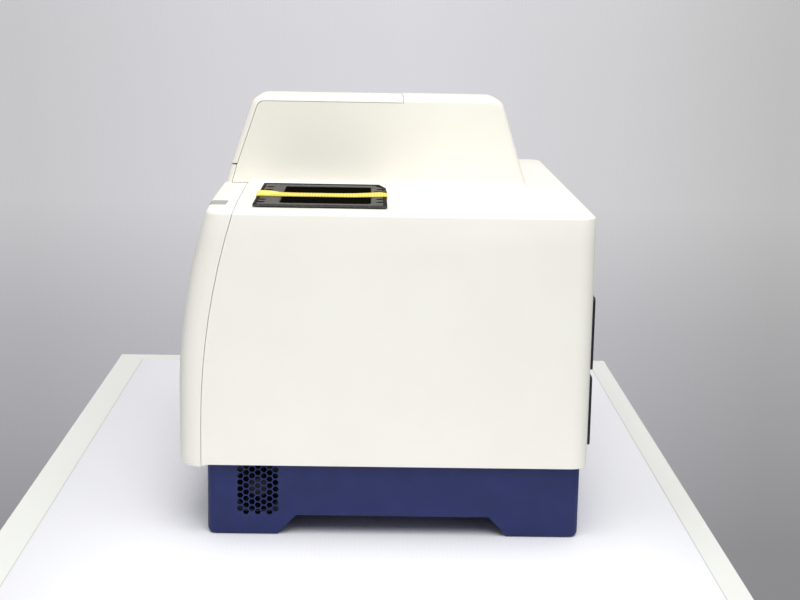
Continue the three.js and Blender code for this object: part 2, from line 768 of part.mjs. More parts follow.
// Dark deck round the stage, held under the rim of the body's top, with a slot for the post
function stageDeck() {
  return cut(
    framePlate([-195, 31, -139, 131], [-170, 6, -110, 72], DECK_Z, DECK_Z + 2, 8),
    box(AXIS_X - 32, AXIS_X + 32, 89, 103, DECK_Z - 1, DECK_Z + 3),
  );
}

// A sector of a ring about the hinge line, between two angles measured back from straight down
function hingeSector(inner, outer, from, to, x0, x1, steps = 10) {
  const points = [];
  const at = (radius, angle) => [HINGE_Y + radius * Math.sin(angle), HINGE_Z - radius * Math.cos(angle)];
  for (let k = 0; k <= steps; k++) points.push(at(outer, from + ((to - from) * k) / steps));
  for (let k = steps; k >= 0; k--) points.push(at(inner, from + ((to - from) * k) / steps));
  return prism(rounded(points), "yz", x0, x1);
}

const radians = THREE.MathUtils.degToRad;

// Hinge arm on the lid: the arc, a leg and the leaf under the lid's skin
function hingeArm(x) {
  const half = HINGE_ARM_WIDE / 2;
  const inner = HINGE_ARM_R - HINGE_ARM_THICK / 2;
  const under = Math.min(crown(x - 9), crown(x + 9)) - LID_DROP - LID_SKIN - FIT_GAP;
  return join(
    hingeSector(inner, inner + HINGE_ARM_THICK, radians(-52), radians(50), x - half, x + half),
    box(x - half, x + half, -5, 0.6, 331, under),
    roundedBox(x - 9, x + 9, -26, 3, under - 2.4, under, 3),
  );
}

// Guide block under the fixed part of the hood, with the curved channel that the arm slides in
function hingeGuide(x) {
  const top = Math.min(crown(x - 9), crown(x + 9)) - WALL - FIT_GAP;
  const inner = HINGE_ARM_R - HINGE_ARM_THICK / 2 - FIT_GAP;
  const outer = inner + HINGE_ARM_THICK + 2 * FIT_GAP;
  const half = HINGE_ARM_WIDE / 2 + FIT_GAP;
  return cut(
    join(box(x - 8, x + 8, 4, 34, 322, 334), box(x - 8, x + 8, 15, 34, 322, top)),
    hingeSector(inner, outer, radians(-60), radians(66), x - half, x + half, 14),
  );
}

// Foam strip inside the hood's rim that the lid closes on: two sides and the front, in one piece
function lidGasket() {
  const line = (z) => LID_FOOT_Y + LID_INSET + (z - RISER_TOP) * LID_SLOPE;
  const [near, far] = [HOOD_NEAR_X - WALL - 1, HOOD_FAR_X + WALL + 1];
  const side = (x, from, to) => {
    const high = crown(x) - LID_DROP - LID_SKIN - 0.9;
    const outline = rounded([
      [line(RISER_TOP) + 1.2, RISER_TOP - 2.5],
      [line(RISER_TOP) + 5.2, RISER_TOP - 2.5],
      [line(high - 4) + 5.2, high - 4, 4],
      [2, high - 4],
      [2, high],
      [line(high) + 1.2, high, 8],
    ]);
    return prism(outline, "yz", from, to);
  };
  return join(
    side(near, near - 2.6, near),
    side(far, far, far + 2.6),
    box(far + 0.6, near - 0.6, -139.2, -134, RISER_TOP - 2.5, RISER_TOP + 1.2),
  );
}

// Power supply in its folded box
const powerSupply = () =>
  cut(
    roundedBox(95, 195, -45, 75, BASE_FLOOR + BASE_WALL + FIT_GAP, 55, 2),
    ...[0, 1, 2, 3, 4, 5].map((k) => roundedBox(110, 180, -30 + k * 16, -24 + k * 16, 53.5, 56, 2)),
  );

function controlBoard() {
  const top = 67.6;
  const studs = [
    [98, -84],
    [202, -84],
    [98, 104],
    [202, 104],
  ].map(([x, y]) => rod("z", [x, y], TRAY_Z + 2 + FIT_GAP, 66.5, 3, 8));
  const parts = [
    [100, 118, -60, -30, 74],
    [180, 204, -50, 10, 76],
    [104, 120, 40, 90, 79],
    [150, 190, 60, 90, 71],
    [130, 165, -75, -50, 72],
    [131, 169, -19, 19, 84],
  ].map(([x0, x1, y0, y1, z1]) => box(x0, x1, y0, y1, top - 0.5, z1));
  const gaps = [0, 1, 2, 3, 4].map((k) => box(133.6 + k * 7.2, 137.6 + k * 7.2, -20, 20, 72, 85));
  return cut(join(box(92, 208, -90, 110, 66, top), ...studs, ...parts), ...gaps);
}

const fanAxis = { y: VENT.y, z: VENT.z };
const FAN = { x0: 200, x1: 220, half: 20, bore: 18.6, hub: 8 };

function fanFrame() {
  const { x0, x1, half, bore, hub } = FAN;
  const { y, z } = fanAxis;
  return join(
    cut(
      box(x0, x1, y - half, y + half, z - half, z + half),
      rod("x", [y, z], x0 - 1, x1 + 1, bore),
    ),
    rod("x", [y, z], x0, x0 + 3, hub, SMALL_ROUND),
    box(x0, x0 + 2.4, y - 1.2, y + 1.2, z - bore - 0.6, z + bore + 0.6),
    box(x0, x0 + 2.4, y - bore - 0.6, y + bore + 0.6, z - 1.2, z + 1.2),
  );
}

// Fan rotor: a hub with seven slanted blades
function fanRotor() {
  const { x0, bore, hub } = FAN;
  const { y, z } = fanAxis;
  const blades = [];
  for (let k = 0; k < 7; k++) {
    const blade = new THREE.BoxGeometry(12, 1.2, bore - 1.2 - hub + 2);
    blade.rotateZ(radians(38));
    blade.translate(0, 0, (bore - 1.2 + hub - 2) / 2);
    blade.rotateX((2 * Math.PI * k) / 7).translate(x0 + 10.4, y, z);
    blades.push(solid(blade));
  }
  return join(rod("x", [y, z], x0 + 3.4, x0 + 17, hub, SMALL_ROUND), ...blades);
}

// Rear panels: thin plates that cover the cut-outs, each with windows for its connectors
function rearPanel({ z0, z1 }, windows) {
  const [from, to] = [REAR_Y + FIT_GAP, REAR_Y + FIT_GAP + PANEL_THICK];
  const plate = prism(rectangle(PANEL_X0, PANEL_X1, z0, z1, 3), "xz", from, to);
  const holes = windows.map(([x0, x1, a, b]) => box(x0, x1, from - 1, to + 1, a, b));
  return cut(plate, ...holes);
}

// A connector body behind a panel, whose nose fills the panel's window, with cavities in its face
function connector([x0, x1, z0, z1], depth, cavities) {
  const face = REAR_Y + FIT_GAP + PANEL_THICK;
  const body = join(
    box(x0 - 3, x1 + 3, REAR_Y - depth, REAR_Y, z0 - 3, z1 + 3),
    box(x0 + FIT_GAP, x1 - FIT_GAP, REAR_Y - 1, face, z0 + FIT_GAP, z1 - FIT_GAP),
  );
  return cut(body, ...cavities.map(([a, b, c, d, deep]) => box(a, b, face - deep, face + 1, c, d)));
}

// Rocker of the power switch, tipped to its off side
function powerRocker() {
  const { x, z, width, height, tilt } = SWITCH;
  const face = REAR_Y + FIT_GAP + PANEL_THICK;
  const outline = rounded([
    [face - 8, -3, 1],
    [face - 8, 3, 1],
    [face - 1.6, height / 2],
    [face - 2.2, 0],
    [face - 1.6, -height / 2],
  ].map(([y, up, r]) => [y - (face - 6), up, r]));
  const rocker = prism(outline, "yz", x - width / 2, x + width / 2);
  return rocker.rotate([tilt, 0, 0]).translate([0, face - 6, z]);
}

// Vessel holder: a thin plate with a sunk window, one cut corner, peg slots and four pads under it
function vesselHolder() {
  const { x0, x1, y0, y1, z0, z1, floor } = HOLDER;
  const window = HOLDER_WINDOW;
  const plan = rounded([
    [x0, y0, 1.5],
    [x1, y0, 1.5],
    [x1, y1, 1.5],
    [x0 + 27, y1, 1.5],
    [x0, y1 - 6, 1.5],
  ]);
  const slots = HOLDER_SLOTS.map(([x, y]) => box(x - 1.3, x + 1.3, y - 3, y + 3, z0 - 1, z1 + 1));
  const pads = HOLDER_PADS.map(([x, y]) => rod("z", [x, y], BODY_TOP + FIT_GAP, z0 + 0.2, 4.5, SMALL_ROUND));
  return join(
    cut(
      prism(plan, "xy", z0, z1),
      roundedBox(window.x0, window.x1, window.y0, window.y1, floor, z1 + 1, 5),
      ...slots,
    ),
    ...pads,
  );
}

// Elastic band stretched lengthwise round the plate, wider where it folds over the two edges
function holderBand() {
  const { x0, x1, y0, y1, z0, z1 } = HOLDER;
  const loop = (grow) =>
    prism(
      rectangle(y0 - grow, y1 + grow, z0 - grow, z1 + grow, grow + 0.1),
      "yz",
      x0,
      x1,
    );
  const [front, middle, rear] = [BAND.front, BAND.middle, BAND.rear];
  const plan = rounded([
    [front[0], y0 - 2],
    [front[1], y0 - 2],
    [middle[1], y0 + 26, 60],
    [middle[1], y1 - 26, 60],
    [rear[1], y1 + 2],
    [rear[0], y1 + 2],
    [middle[0], y1 - 26, 60],
    [middle[0], y0 + 26, 60],
  ]);
  return loop(FIT_GAP + BAND.thick).subtract(loop(FIT_GAP)).intersect(prism(plan, "xy", z0 - 2, z1 + 2));
}

// Housing pieces
const body = bodySolid(0);
const outer = join(body, hoodSolid(0), hoodFlares());
const shell = outer.subtract(join(bodySolid(WALL), hoodSolid(WALL)));
const lensZone = (gap) => box(LENS.x0 - gap, LENS.x1 + gap, -170, LENS.back + gap, LENS.low - gap, BODY_TOP + 2);

const mainCover = () =>
  cut(
    shell,
    frontZone(SEAM_GAP),
    lidZone(SEAM_GAP),
    rearCutouts(),
    box(-WIDTH, WIDTH, -WIDTH, WIDTH, 0, COVER_BOTTOM),
  );

function frontPanel() {
  const lip = body.intersect(
    box(-226, 226, FRONT_Y, BASE_FRONT - FIT_GAP, PANEL_BOTTOM, COVER_BOTTOM - FIT_GAP),
  );
  return cut(join(shell.intersect(frontZone(0)), lip), lensZone(FIT_GAP));
}

const lid = () => cut(hoodSolid(0, LID_DROP).intersect(lidZone(0)), hoodSolid(LID_SKIN, LID_DROP));

// Shaft between two levels with a flat collar at one end
const screw = (along, centre, from, to, radius) =>
  join(rod(along, centre, from, to, radius, SMALL_ROUND), rod(along, centre, to - 1.9, to - 0.4, radius + 1, SMALL_ROUND));

// A joined solid as a named mesh
function node(name, piece, finish) {
  const { vertProperties, triVerts } = piece.getMesh();
  const geometry = new THREE.BufferGeometry();
  geometry.setAttribute("position", new THREE.BufferAttribute(Float32Array.from(vertProperties), 3));
  geometry.setIndex(new THREE.BufferAttribute(Uint32Array.from(triVerts), 1));
  geometry.computeVertexNormals();
  const mesh = new THREE.Mesh(geometry, FINISH[finish].clone());
  mesh.name = name;
  return mesh;
}

function group(name, ...children) {
  const assembly = new THREE.Group();
  assembly.name = name;
  return assembly.add(...children);
}

const plateTop = PLATE_Z + PLATE_THICK + FIT_GAP;
const railZ = STAGE_BASE_Z + STAGE_THICK + FIT_GAP;

const housing = group(
  "housing",
  node("main_cover", mainCover(), "white"),
  node("front_panel", frontPanel(), "white"),
  node("status_lens", shell.intersect(lensZone(0)), "lens"),
  node("base_pan", basePan(), "blue"),
  node("foot_front_left", foot(FEET[0]), "rubber"),
  node("foot_front_right", foot(FEET[1]), "rubber"),
  node("foot_rear_left", foot(FEET[2]), "rubber"),
  node("foot_rear_right", foot(FEET[3]), "rubber"),
  node("lid_gasket", lidGasket(), "rubber"),
  node("hinge_guide_left", hingeGuide(HINGE_XS.left), "dark"),
  node("hinge_guide_right", hingeGuide(HINGE_XS.right), "dark"),
);

const lidGroup = group(
  "lid_assembly",
  node("lid", lid(), "white"),
  node("hinge_arm_left", hingeArm(HINGE_XS.left), "steel"),
  node("hinge_arm_right", hingeArm(HINGE_XS.right), "steel"),
);

const rear = group(
  "rear_connections",
  node("rear_upper_panel", rearPanel(UPPER_PANEL, [PORTS.data]), "anodised"),
  node("rear_lower_panel", rearPanel(LOWER_PANEL, [PORTS.inlet, PORTS.power]), "anodised"),
  node("power_inlet", connector(PORTS.inlet, 22, [[78, 102, 94, 110, 15]]), "dark"),
  node("switch_bezel", connector(PORTS.power, 16, [[121.5, 134.5, 91.5, 112.5, 12]]), "dark"),
  node("power_rocker", powerRocker(), "dark"),
  node("data_ports", connector(PORTS.data, 18, DATA_CAVITIES), "steel"),
);

const frame = group(
  "optics_frame",
  node("optics_plate", roundedBox(-215, 75, -130, 140, PLATE_Z, PLATE_Z + PLATE_THICK, 6), "aluminium"),
  node("stage_column_left", stageColumn(-205, -195), "aluminium"),
  node("stage_column_right", stageColumn(35, 45), "aluminium"),
  node("stage_base", stageBase(), "aluminium"),
  node("stage_deck", stageDeck(), "dark"),
  node("illuminator_arm", illuminatorArm(), "dark"),
  node("condenser_lens", condenser(), "glass"),
);

const yRail = (x) => box(x - 5, x + 5, -118, 103, railZ, 232.3);
const xRail = (y) => box(-203, 39, y - 4, y + 4, 240.9, 245.9);
const stage = group(
  "stage_drive",
  node("y_rail_left", yRail(-195), "steel"),
  node("y_rail_right", yRail(35), "steel"),
  node("y_motor", roundedBox(-184, -156, 105.3, 140, 215.4, 243.4, 3), "dark"),
  node("y_screw", screw("y", [Y_SCREW.x, Y_SCREW.z], -110, 105, Y_SCREW.radius), "steel"),
  node("y_carriage", yCarriage(), "anodised"),
  node("x_rail_front", xRail(-84), "steel"),
  node("x_rail_rear", xRail(44), "steel"),
  node("x_motor", roundedBox(53.5, 81.5, -83, -67, 240.9, 256.9, 2), "dark"),
  node("x_screw", screw("x", [X_SCREW.y, X_SCREW.z], -160, 53.2, X_SCREW.radius), "steel"),
  node("x_carriage", xCarriage(), "anodised"),
);

const optics = group(
  "optics",
  node("focus_column", focusColumn(), "aluminium"),
  node("focus_motor", focusMotor(), "dark"),
  node("focus_carriage", focusCarriage(), "anodised"),
  node("turret", turret(), "anodised"),
  ...OBJECTIVES.map((spec, k) => node(`objective_${k + 1}`, objective(spec, k), "steel")),
  node("cube_rail", box(-190, 26, -58, -50, plateTop, 95.7), "aluminium"),
  node("cube_carriage", cubeCarriage(), "anodised"),
  node("light_cube_1", lightCube(0), "dark"),
  node("light_cube_2", lightCube(1), "dark"),
  node("light_cube_3", lightCube(2), "dark"),
  node("fold_mirror_block", foldMirror(), "aluminium"),
  node("tube_lens", tubeLens(), "dark"),
  node("camera_module", cameraModule(), "dark"),
);

const electronics = group(
  "electronics",
  node("power_supply", powerSupply(), "steel"),
  node("electronics_tray", roundedBox(82, 216, -118, 131, TRAY_Z, TRAY_Z + 2, 3), "aluminium"),
  node("control_board", controlBoard(), "board"),
  node("fan_frame", fanFrame(), "dark"),
  node("fan_rotor", fanRotor(), "dark"),
);

const holder = group(
  "holder_assembly",
  node("vessel_holder", vesselHolder(), "anodised"),
  node("holder_band", holderBand(), "band"),
);

export default group(
  "cell_imaging_system",
  housing,
  lidGroup,
  rear,
  frame,
  stage,
  optics,
  electronics,
  holder,
);
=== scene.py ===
# %% [markdown]
# # A bench-top cell imaging system
# The CAD model gives every piece of the instrument its true size and place. This script loads it as
# a fixed frame and dresses it: a finish for every part, soft or bevelled edges, and the small pieces
# that CAD leaves out, such as screws, pins, lenses and the two marks on the power switch.

# %% Load the frame
import math

import bmesh
import bpy
from mathutils import Matrix, Vector


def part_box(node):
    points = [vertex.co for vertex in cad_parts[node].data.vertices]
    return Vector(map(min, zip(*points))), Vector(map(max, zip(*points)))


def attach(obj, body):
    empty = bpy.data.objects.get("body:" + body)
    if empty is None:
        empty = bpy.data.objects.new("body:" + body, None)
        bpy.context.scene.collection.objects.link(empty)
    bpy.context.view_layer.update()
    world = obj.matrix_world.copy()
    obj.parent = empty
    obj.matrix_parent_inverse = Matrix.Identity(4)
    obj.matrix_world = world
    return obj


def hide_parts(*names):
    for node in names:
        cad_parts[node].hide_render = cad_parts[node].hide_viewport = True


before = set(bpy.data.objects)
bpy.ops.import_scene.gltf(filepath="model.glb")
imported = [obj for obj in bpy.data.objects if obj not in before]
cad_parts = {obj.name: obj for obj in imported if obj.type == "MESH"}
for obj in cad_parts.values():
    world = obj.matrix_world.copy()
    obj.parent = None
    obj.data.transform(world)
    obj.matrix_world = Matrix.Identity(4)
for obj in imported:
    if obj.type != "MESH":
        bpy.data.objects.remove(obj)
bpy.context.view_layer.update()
MM = 0.001

# %% [markdown]
# ## The camera
# The photograph was taken from the instrument's right-hand side, a little above it and from about
# a metre and a half away. The lens is a short telephoto, so the box hardly narrows with distance.
# The view direction is built from three angles, and the picture's right and up vectors follow from
# cross products. That is clearer than Euler angles, because each angle keeps its own meaning.

# %% Camera
EYE = Vector((1.4721, -0.0175, 0.4359))
PITCH_DOWN = math.radians(10.85)
YAW = math.radians(1.19)
ROLL = math.radians(-1.07)
LENS_MM = 72

flat_ahead = Vector((-math.cos(YAW), math.sin(YAW), 0))
ahead = flat_ahead * math.cos(PITCH_DOWN) - Vector((0, 0, math.sin(PITCH_DOWN)))
level_right = Vector((math.sin(YAW), math.cos(YAW), 0))
level_down = ahead.cross(level_right)
right = level_right * math.cos(ROLL) + level_down * math.sin(ROLL)
up = level_right * math.sin(ROLL) - level_down * math.cos(ROLL)

camera_data = bpy.data.cameras.new("photo_camera")
camera_data.lens = LENS_MM
camera_data.sensor_width = 36
camera_data.sensor_fit = "HORIZONTAL"
camera_data.clip_end = 30
camera = bpy.data.objects.new("photo_camera", camera_data)
bpy.context.scene.collection.objects.link(camera)
camera.matrix_world = Matrix.Translation(EYE) @ Matrix((right, up, -ahead)).transposed().to_4x4()
bpy.context.scene.camera = camera
bpy.context.scene.view_settings.view_transform = "Standard"
print("camera looks towards", tuple(round(v, 3) for v in ahead))

# %% [markdown]
# ## Helpers for finishes
# Colours are written as sRGB hex values, the way a paint chart or a picture editor gives them, and
# the shader needs linear values. One function turns one into the other. One more adds a node with
# its settings and links, so that each finish below reads as a short recipe. A grain is a fine bump,
# and a mottle is a slight change of colour from patch to patch; both are sized in millimetres.


# %% Colour and node helpers
def linear(hex_colour):
    """Linear RGBA of an sRGB hex colour."""
    channels = [int(hex_colour[i : i + 2], 16) / 255 for i in (1, 3, 5)]
    return tuple(c / 12.92 if c <= 0.04045 else ((c + 0.055) / 1.055) ** 2.4 for c in channels) + (1.0,)


def add_node(tree, kind, inputs=None, **settings):
    """A shader node with its settings; an input is a value, or (node, output name) to link from."""
    node = tree.nodes.new(kind)
    for name, value in settings.items():
        setattr(node, name, value)
    for name, value in (inputs or {}).items():
        if isinstance(value, tuple) and isinstance(value[0], bpy.types.Node):
            tree.links.new(value[0].outputs[value[1]], node.inputs[name])
        else:
            node.inputs[name].default_value = value
    return node


def finish(name, **sockets):
    """A new material whose principled shader has these socket values."""
    material = bpy.data.materials.new(name)
    material.use_nodes = True
    shader = material.node_tree.nodes["Principled BSDF"]
    for socket, value in sockets.items():
        shader.inputs[socket.replace("_", " ")].default_value = value
    return material


def feed(material, node, output, socket):
    """Links a node's output to a socket of the material's principled shader."""
    tree = material.node_tree
    tree.links.new(node.outputs[output], tree.nodes["Principled BSDF"].inputs[socket])


print("mid grey is", round(linear("#808080")[0], 3), "in linear light")


# %% Grain and mottle
def patches(tree, size_mm, detail, stretch):
    """Noise whose patches are size_mm across on the real object; a low stretch makes streaks."""
    place = add_node(tree, "ShaderNodeTexCoord")
    turn = add_node(tree, "ShaderNodeMapping", {"Vector": (place, "Object"), "Scale": stretch})
    inputs = {"Vector": (turn, "Vector"), "Scale": 1 / (size_mm * MM), "Detail": detail}
    return add_node(tree, "ShaderNodeTexNoise", inputs)


def grain(material, size_mm, height_mm, stretch=(1, 1, 1)):
    """A fine bump on a finish."""
    tree = material.node_tree
    noise = patches(tree, size_mm, 2.0, stretch)
    inputs = {"Height": (noise, "Fac"), "Distance": height_mm * MM, "Strength": 1.0}
    feed(material, add_node(tree, "ShaderNodeBump", inputs), "Normal", "Normal")


def mottle(material, colour_a, colour_b, size_mm, low=0.35, high=0.65, stretch=(1, 1, 1)):
    """Varies a finish's colour between two hex colours."""
    tree = material.node_tree
    noise = patches(tree, size_mm, 3.0, stretch)
    ramp = add_node(tree, "ShaderNodeValToRGB", {"Fac": (noise, "Fac")})
    for element, position, colour in zip(ramp.color_ramp.elements, (low, high), (colour_a, colour_b)):
        element.position = position
        element.color = linear(colour)
    feed(material, ramp, "Color", "Base Color")


print("a grain of 1 mm has a noise scale of", round(1 / MM))

# %% [markdown]
# ## Housing finishes
# The white covers are vacuum-cast or moulded ABS with a fine satin paint. The base pan is folded
# steel with a fine-textured powder coat. A picture texture could carry both surfaces, but noise
# bumps have no seams and keep their size in millimetres. A real powder coat's orange peel is about
# 0.6 mm across; it is drawn at 1.5 mm so that it shows.

# %% Housing finishes
# Satin paint on ABS: a broad soft sheen, no mirror reflections, the faintest warm clouds.
white_abs = finish("satin_painted_abs_white", Base_Color=linear("#f6f3ea"), Roughness=0.42, IOR=1.45)
mottle(white_abs, "#f5f2e7", "#f6f4ea", 60.0)
grain(white_abs, 1.2, 0.005)
# Powder coat on steel: a deep colour whose highlights break up into tiny sparkles.
blue_coat = finish("powder_coated_steel_blue", Base_Color=linear("#1e285e"), Roughness=0.5, IOR=1.4)
mottle(blue_coat, "#1b2558", "#202a61", 25.0)
grain(blue_coat, 1.5, 0.02)
# The same coat in navy, nearly black, on the rear plates.
navy_coat = finish("powder_coated_panel_navy", Base_Color=linear("#10121f"), Roughness=0.5, IOR=1.45)
grain(navy_coat, 1.5, 0.03)
# Pigmented polycarbonate: a milky grey, a little glossier than the paint beside it.
status_grey = finish(
    "translucent_polycarbonate_grey", Base_Color=linear("#a2a297"), Roughness=0.35, IOR=1.58
)
grain(status_grey, 0.8, 0.004)
# Moulded rubber: nearly no sheen.
black_rubber = finish("moulded_rubber_black", Base_Color=linear("#1b1b1d"), Roughness=0.85, IOR=1.52)
grain(black_rubber, 0.7, 0.03)
# Closed-cell foam: dull, with dark pores.
foam = finish("closed_cell_foam_dark", Base_Color=linear("#26272a"), Roughness=0.95, IOR=1.4)
grain(foam, 0.9, 0.12)
print("housing finishes:", white_abs.name, blue_coat.name, navy_coat.name, black_rubber.name)

# %% [markdown]
# ## Finishes of the mechanism
# Inside are machined and anodised aluminium, ground steel and glass-filled plastic. Brushing and
# milling leave marks in one direction, so those noises are stretched along one axis: a small scale
# along the stroke gives long streaks.

# %% Metals
# Dyed anodising: dark, with a metallic sheen and slight clouds.
black_anodised = finish(
    "anodised_aluminium_black", Base_Color=linear("#242425"), Metallic=0.5, Roughness=0.55
)
mottle(black_anodised, "#202021", "#29292a", 12.0)
grain(black_anodised, 0.6, 0.01)
# Milled aluminium: bright, with streaks along the cutter's path.
raw_aluminium = finish("milled_aluminium", Base_Color=linear("#c2c4c6"), Metallic=1.0, Roughness=0.38)
grain(raw_aluminium, 1.0, 0.01, (0.05, 1, 1))
mottle(raw_aluminium, "#b9bbbe", "#c8cacc", 6.0, 0.4, 0.6, (0.1, 1, 1))
# Ground steel: sharper reflections in fine streaks.
ground_steel = finish("ground_steel", Base_Color=linear("#b4b5b7"), Metallic=1.0, Roughness=0.25)
grain(ground_steel, 0.6, 0.006, (0.1, 1, 1))
# Zinc plating: the crystals show as pale patches.
zinc_sheet = finish("zinc_plated_sheet", Base_Color=linear("#aeb0b2"), Metallic=1.0, Roughness=0.42)
mottle(zinc_sheet, "#a4a7aa", "#bbbdbf", 9.0)
# Gold and nickel plating: smooth and bright on small contacts and turned parts.
gold_pin = finish("gold_plated_contact", Base_Color=linear("#d8b25a"), Metallic=1.0, Roughness=0.25)
nickel = finish("nickel_plated_brass", Base_Color=linear("#b9b4a8"), Metallic=1.0, Roughness=0.28)
satin_chrome = finish("satin_chrome", Base_Color=linear("#c9c8c4"), Metallic=1.0, Roughness=0.3)
print("raw aluminium has", len(raw_aluminium.node_tree.nodes), "nodes")

# %% Plastics, board and glass
# Glass-filled plastic: the fibres dull the surface.
filled_plastic = finish(
    "glass_filled_plastic_black", Base_Color=linear("#202227"), Roughness=0.6, IOR=1.55
)
grain(filled_plastic, 0.6, 0.02)
# Fan plastic: matt, so that the blades stay dark behind the vent.
fan_black = finish("fan_plastic_black", Base_Color=linear("#0d0e11"), Roughness=0.7, IOR=1.5)
# Moulded plastic: the mould's fine spark texture softens its sheen.
grey_plastic = finish("moulded_plastic_dark_grey", Base_Color=linear("#3a3d42"), Roughness=0.5, IOR=1.5)
grain(grey_plastic, 0.6, 0.015)
# Solder mask: a glossy green lacquer, lighter where copper lies under it.
solder_mask = finish("solder_mask_green", Base_Color=linear("#1d5a3a"), Roughness=0.35, IOR=1.5)
mottle(solder_mask, "#18502f", "#23653f", 3.0, 0.45, 0.5)
# Coated glass: clear, with a pale blue cast.
coated_glass = finish(
    "coated_optical_glass",
    Base_Color=linear("#dfe9f2"),
    Roughness=0.02,
    IOR=1.52,
    Transmission_Weight=0.9,
)
# A front lens is backed by dark glass and metal, so it shows only its blue coating.
lens_glass = finish("coated_front_lens", Base_Color=linear("#2b3a5c"), Roughness=0.03, IOR=1.7)
print("glass finishes:", coated_glass.name, lens_glass.name)

# %% [markdown]
# ## The elastic band
# A band of woven elastic holds the loose vessel holder for transport. Bundles of weft threads cross it
# every few millimetres, and rubber cords run along it. Two wave textures, one for each direction,
# multiplied together give a weave that needs no picture. A wave texture's bands repeat every
# pi / 10 of its scale, so the real spacing turns into a scale through that number.


# %% Woven elastic
def bands(tree, place, spacing_mm, direction):
    """Light and dark bands, spacing_mm from one to the next."""
    inputs = {"Vector": (place, "Object"), "Scale": math.pi / 10 / (spacing_mm * MM)}
    return add_node(tree, "ShaderNodeTexWave", inputs, bands_direction=direction)


WEFT_MM = 2.6
CORD_MM = 5.0
# Woven elastic: dull cloth, brighter where a thread bundle stands up.
woven_elastic = finish("woven_elastic_yellow", Base_Color=linear("#e6cf52"), Roughness=0.75, IOR=1.5)
tree = woven_elastic.node_tree
place = add_node(tree, "ShaderNodeTexCoord")
weft = bands(tree, place, WEFT_MM, "Y")
cords = bands(tree, place, CORD_MM, "X")
weave = add_node(tree, "ShaderNodeMath", {0: (weft, "Fac"), 1: (cords, "Fac")}, operation="MULTIPLY")
ramp = add_node(tree, "ShaderNodeValToRGB", {"Fac": (weave, "Value")})
ramp.color_ramp.elements[0].color = linear("#e2cd50")
ramp.color_ramp.elements[1].color = linear("#f8e66e")
ramp.color_ramp.elements[1].position = 0.35
bump = add_node(tree, "ShaderNodeBump", {"Height": (weave, "Value"), "Distance": 0.08 * MM})
feed(woven_elastic, ramp, "Color", "Base Color")
feed(woven_elastic, bump, "Normal", "Normal")
print("weft every", WEFT_MM, "mm, cords every", CORD_MM, "mm")

# %% [markdown]
# ## Dressing the CAD parts
# Each CAD node keeps its shape and gets one of the finishes. A dictionary from finish to node names
# says at a glance what the instrument is made of.

# %% Give every CAD node its finish
DRESS = {
    white_abs: "main_cover front_panel lid",
    blue_coat: "base_pan",
    navy_coat: "rear_upper_panel rear_lower_panel",
    status_grey: "status_lens",
    black_rubber: "foot_front_left foot_front_right foot_rear_left foot_rear_right",
    foam: "lid_gasket",
    black_anodised: "vessel_holder y_carriage x_carriage focus_carriage turret cube_carriage",
    raw_aluminium: "optics_plate stage_column_left stage_column_right stage_base focus_column"
    " cube_rail fold_mirror_block electronics_tray",
    ground_steel: "hinge_arm_left hinge_arm_right y_rail_left y_rail_right y_screw"
    " x_rail_front x_rail_rear x_screw",
    zinc_sheet: "power_supply data_ports",
    nickel: "objective_1 objective_2 objective_3 objective_4",
    filled_plastic: "hinge_guide_left hinge_guide_right power_inlet switch_bezel power_rocker"
    " stage_deck fan_frame fan_rotor",
    grey_plastic: "illuminator_arm light_cube_1 light_cube_2 light_cube_3 tube_lens camera_module"
    " y_motor x_motor focus_motor",
    solder_mask: "control_board",
    coated_glass: "condenser_lens",
    woven_elastic: "holder_band",
}


def dress(obj, material):
    """The object in one material."""
    obj.data.materials.clear()
    obj.data.materials.append(material)


for material, names in DRESS.items():
    for name in names.split():
        dress(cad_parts[name], material)
print("dressed", sum(len(names.split()) for names in DRESS.values()), "of", len(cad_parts), "nodes")

# %% [markdown]
# ## Places from the frame
# The detail pieces are drawn in millimetres, in the same frame as the CAD model, and scaled to
# metres at the end. Where a piece sits on a CAD node, its place is worked out from that node's box,
# so it still fits when the CAD model changes.


# %% Boxes and middles in millimetres
def box_mm(name):
    """The spans of a CAD node's box along X, Y and Z."""
    low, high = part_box(name)
    return [(a / MM, b / MM) for a, b in zip(low, high)]


def middle(span):
    """Halfway between a span's two ends."""
    return (span[0] + span[1]) / 2


def inside(span, inset):
    """Two places, each an inset away from an end of a span."""
    return (span[0] + inset, span[1] - inset)


print("the lid's box:", [[round(end, 1) for end in span] for span in box_mm("lid")])

# %% [markdown]
# ## Finished objects
# Several parts of one kind share a bmesh, such as all the screws of a plate, so the object list
# stays short. `piece` scales such a bmesh to metres, shades its curves smooth, keeps corners crisp
# and lets the object ride on its body. Marking edges by their angle does this without a modifier.

# %% From bmesh to object
SOFT_UNDER = math.radians(32)


def shade(bm, under=SOFT_UNDER):
    """Smooth curves and crisp corners."""
    for face in bm.faces:
        face.smooth = True
    for edge in bm.edges:
        edge.smooth = edge.is_manifold and edge.calc_face_angle(0) < under


def mesh_object(name, bm, material):
    """The bmesh as an object in one material."""
    mesh = bpy.data.meshes.new(name)
    bm.to_mesh(mesh)
    bm.free()
    obj = bpy.data.objects.new(name, mesh)
    bpy.context.scene.collection.objects.link(obj)
    dress(obj, material)
    return obj


def to_object(name, bm, body, material, replaces=()):
    """The bmesh as an object that rides on a body and stands for the CAD nodes it replaces."""
    obj = mesh_object(name, bm, material)
    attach(obj, body)
    if replaces:
        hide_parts(*replaces)
    return obj


def piece(name, bm, body, material, replaces=()):
    """A bmesh drawn in millimetres as a finished object."""
    bmesh.ops.scale(bm, vec=(MM, MM, MM), verts=bm.verts)
    bmesh.ops.recalc_face_normals(bm, faces=bm.faces)
    shade(bm)
    obj = to_object(name, bm, body, material, replaces)
    print(name, "has", len(obj.data.polygons), "faces")


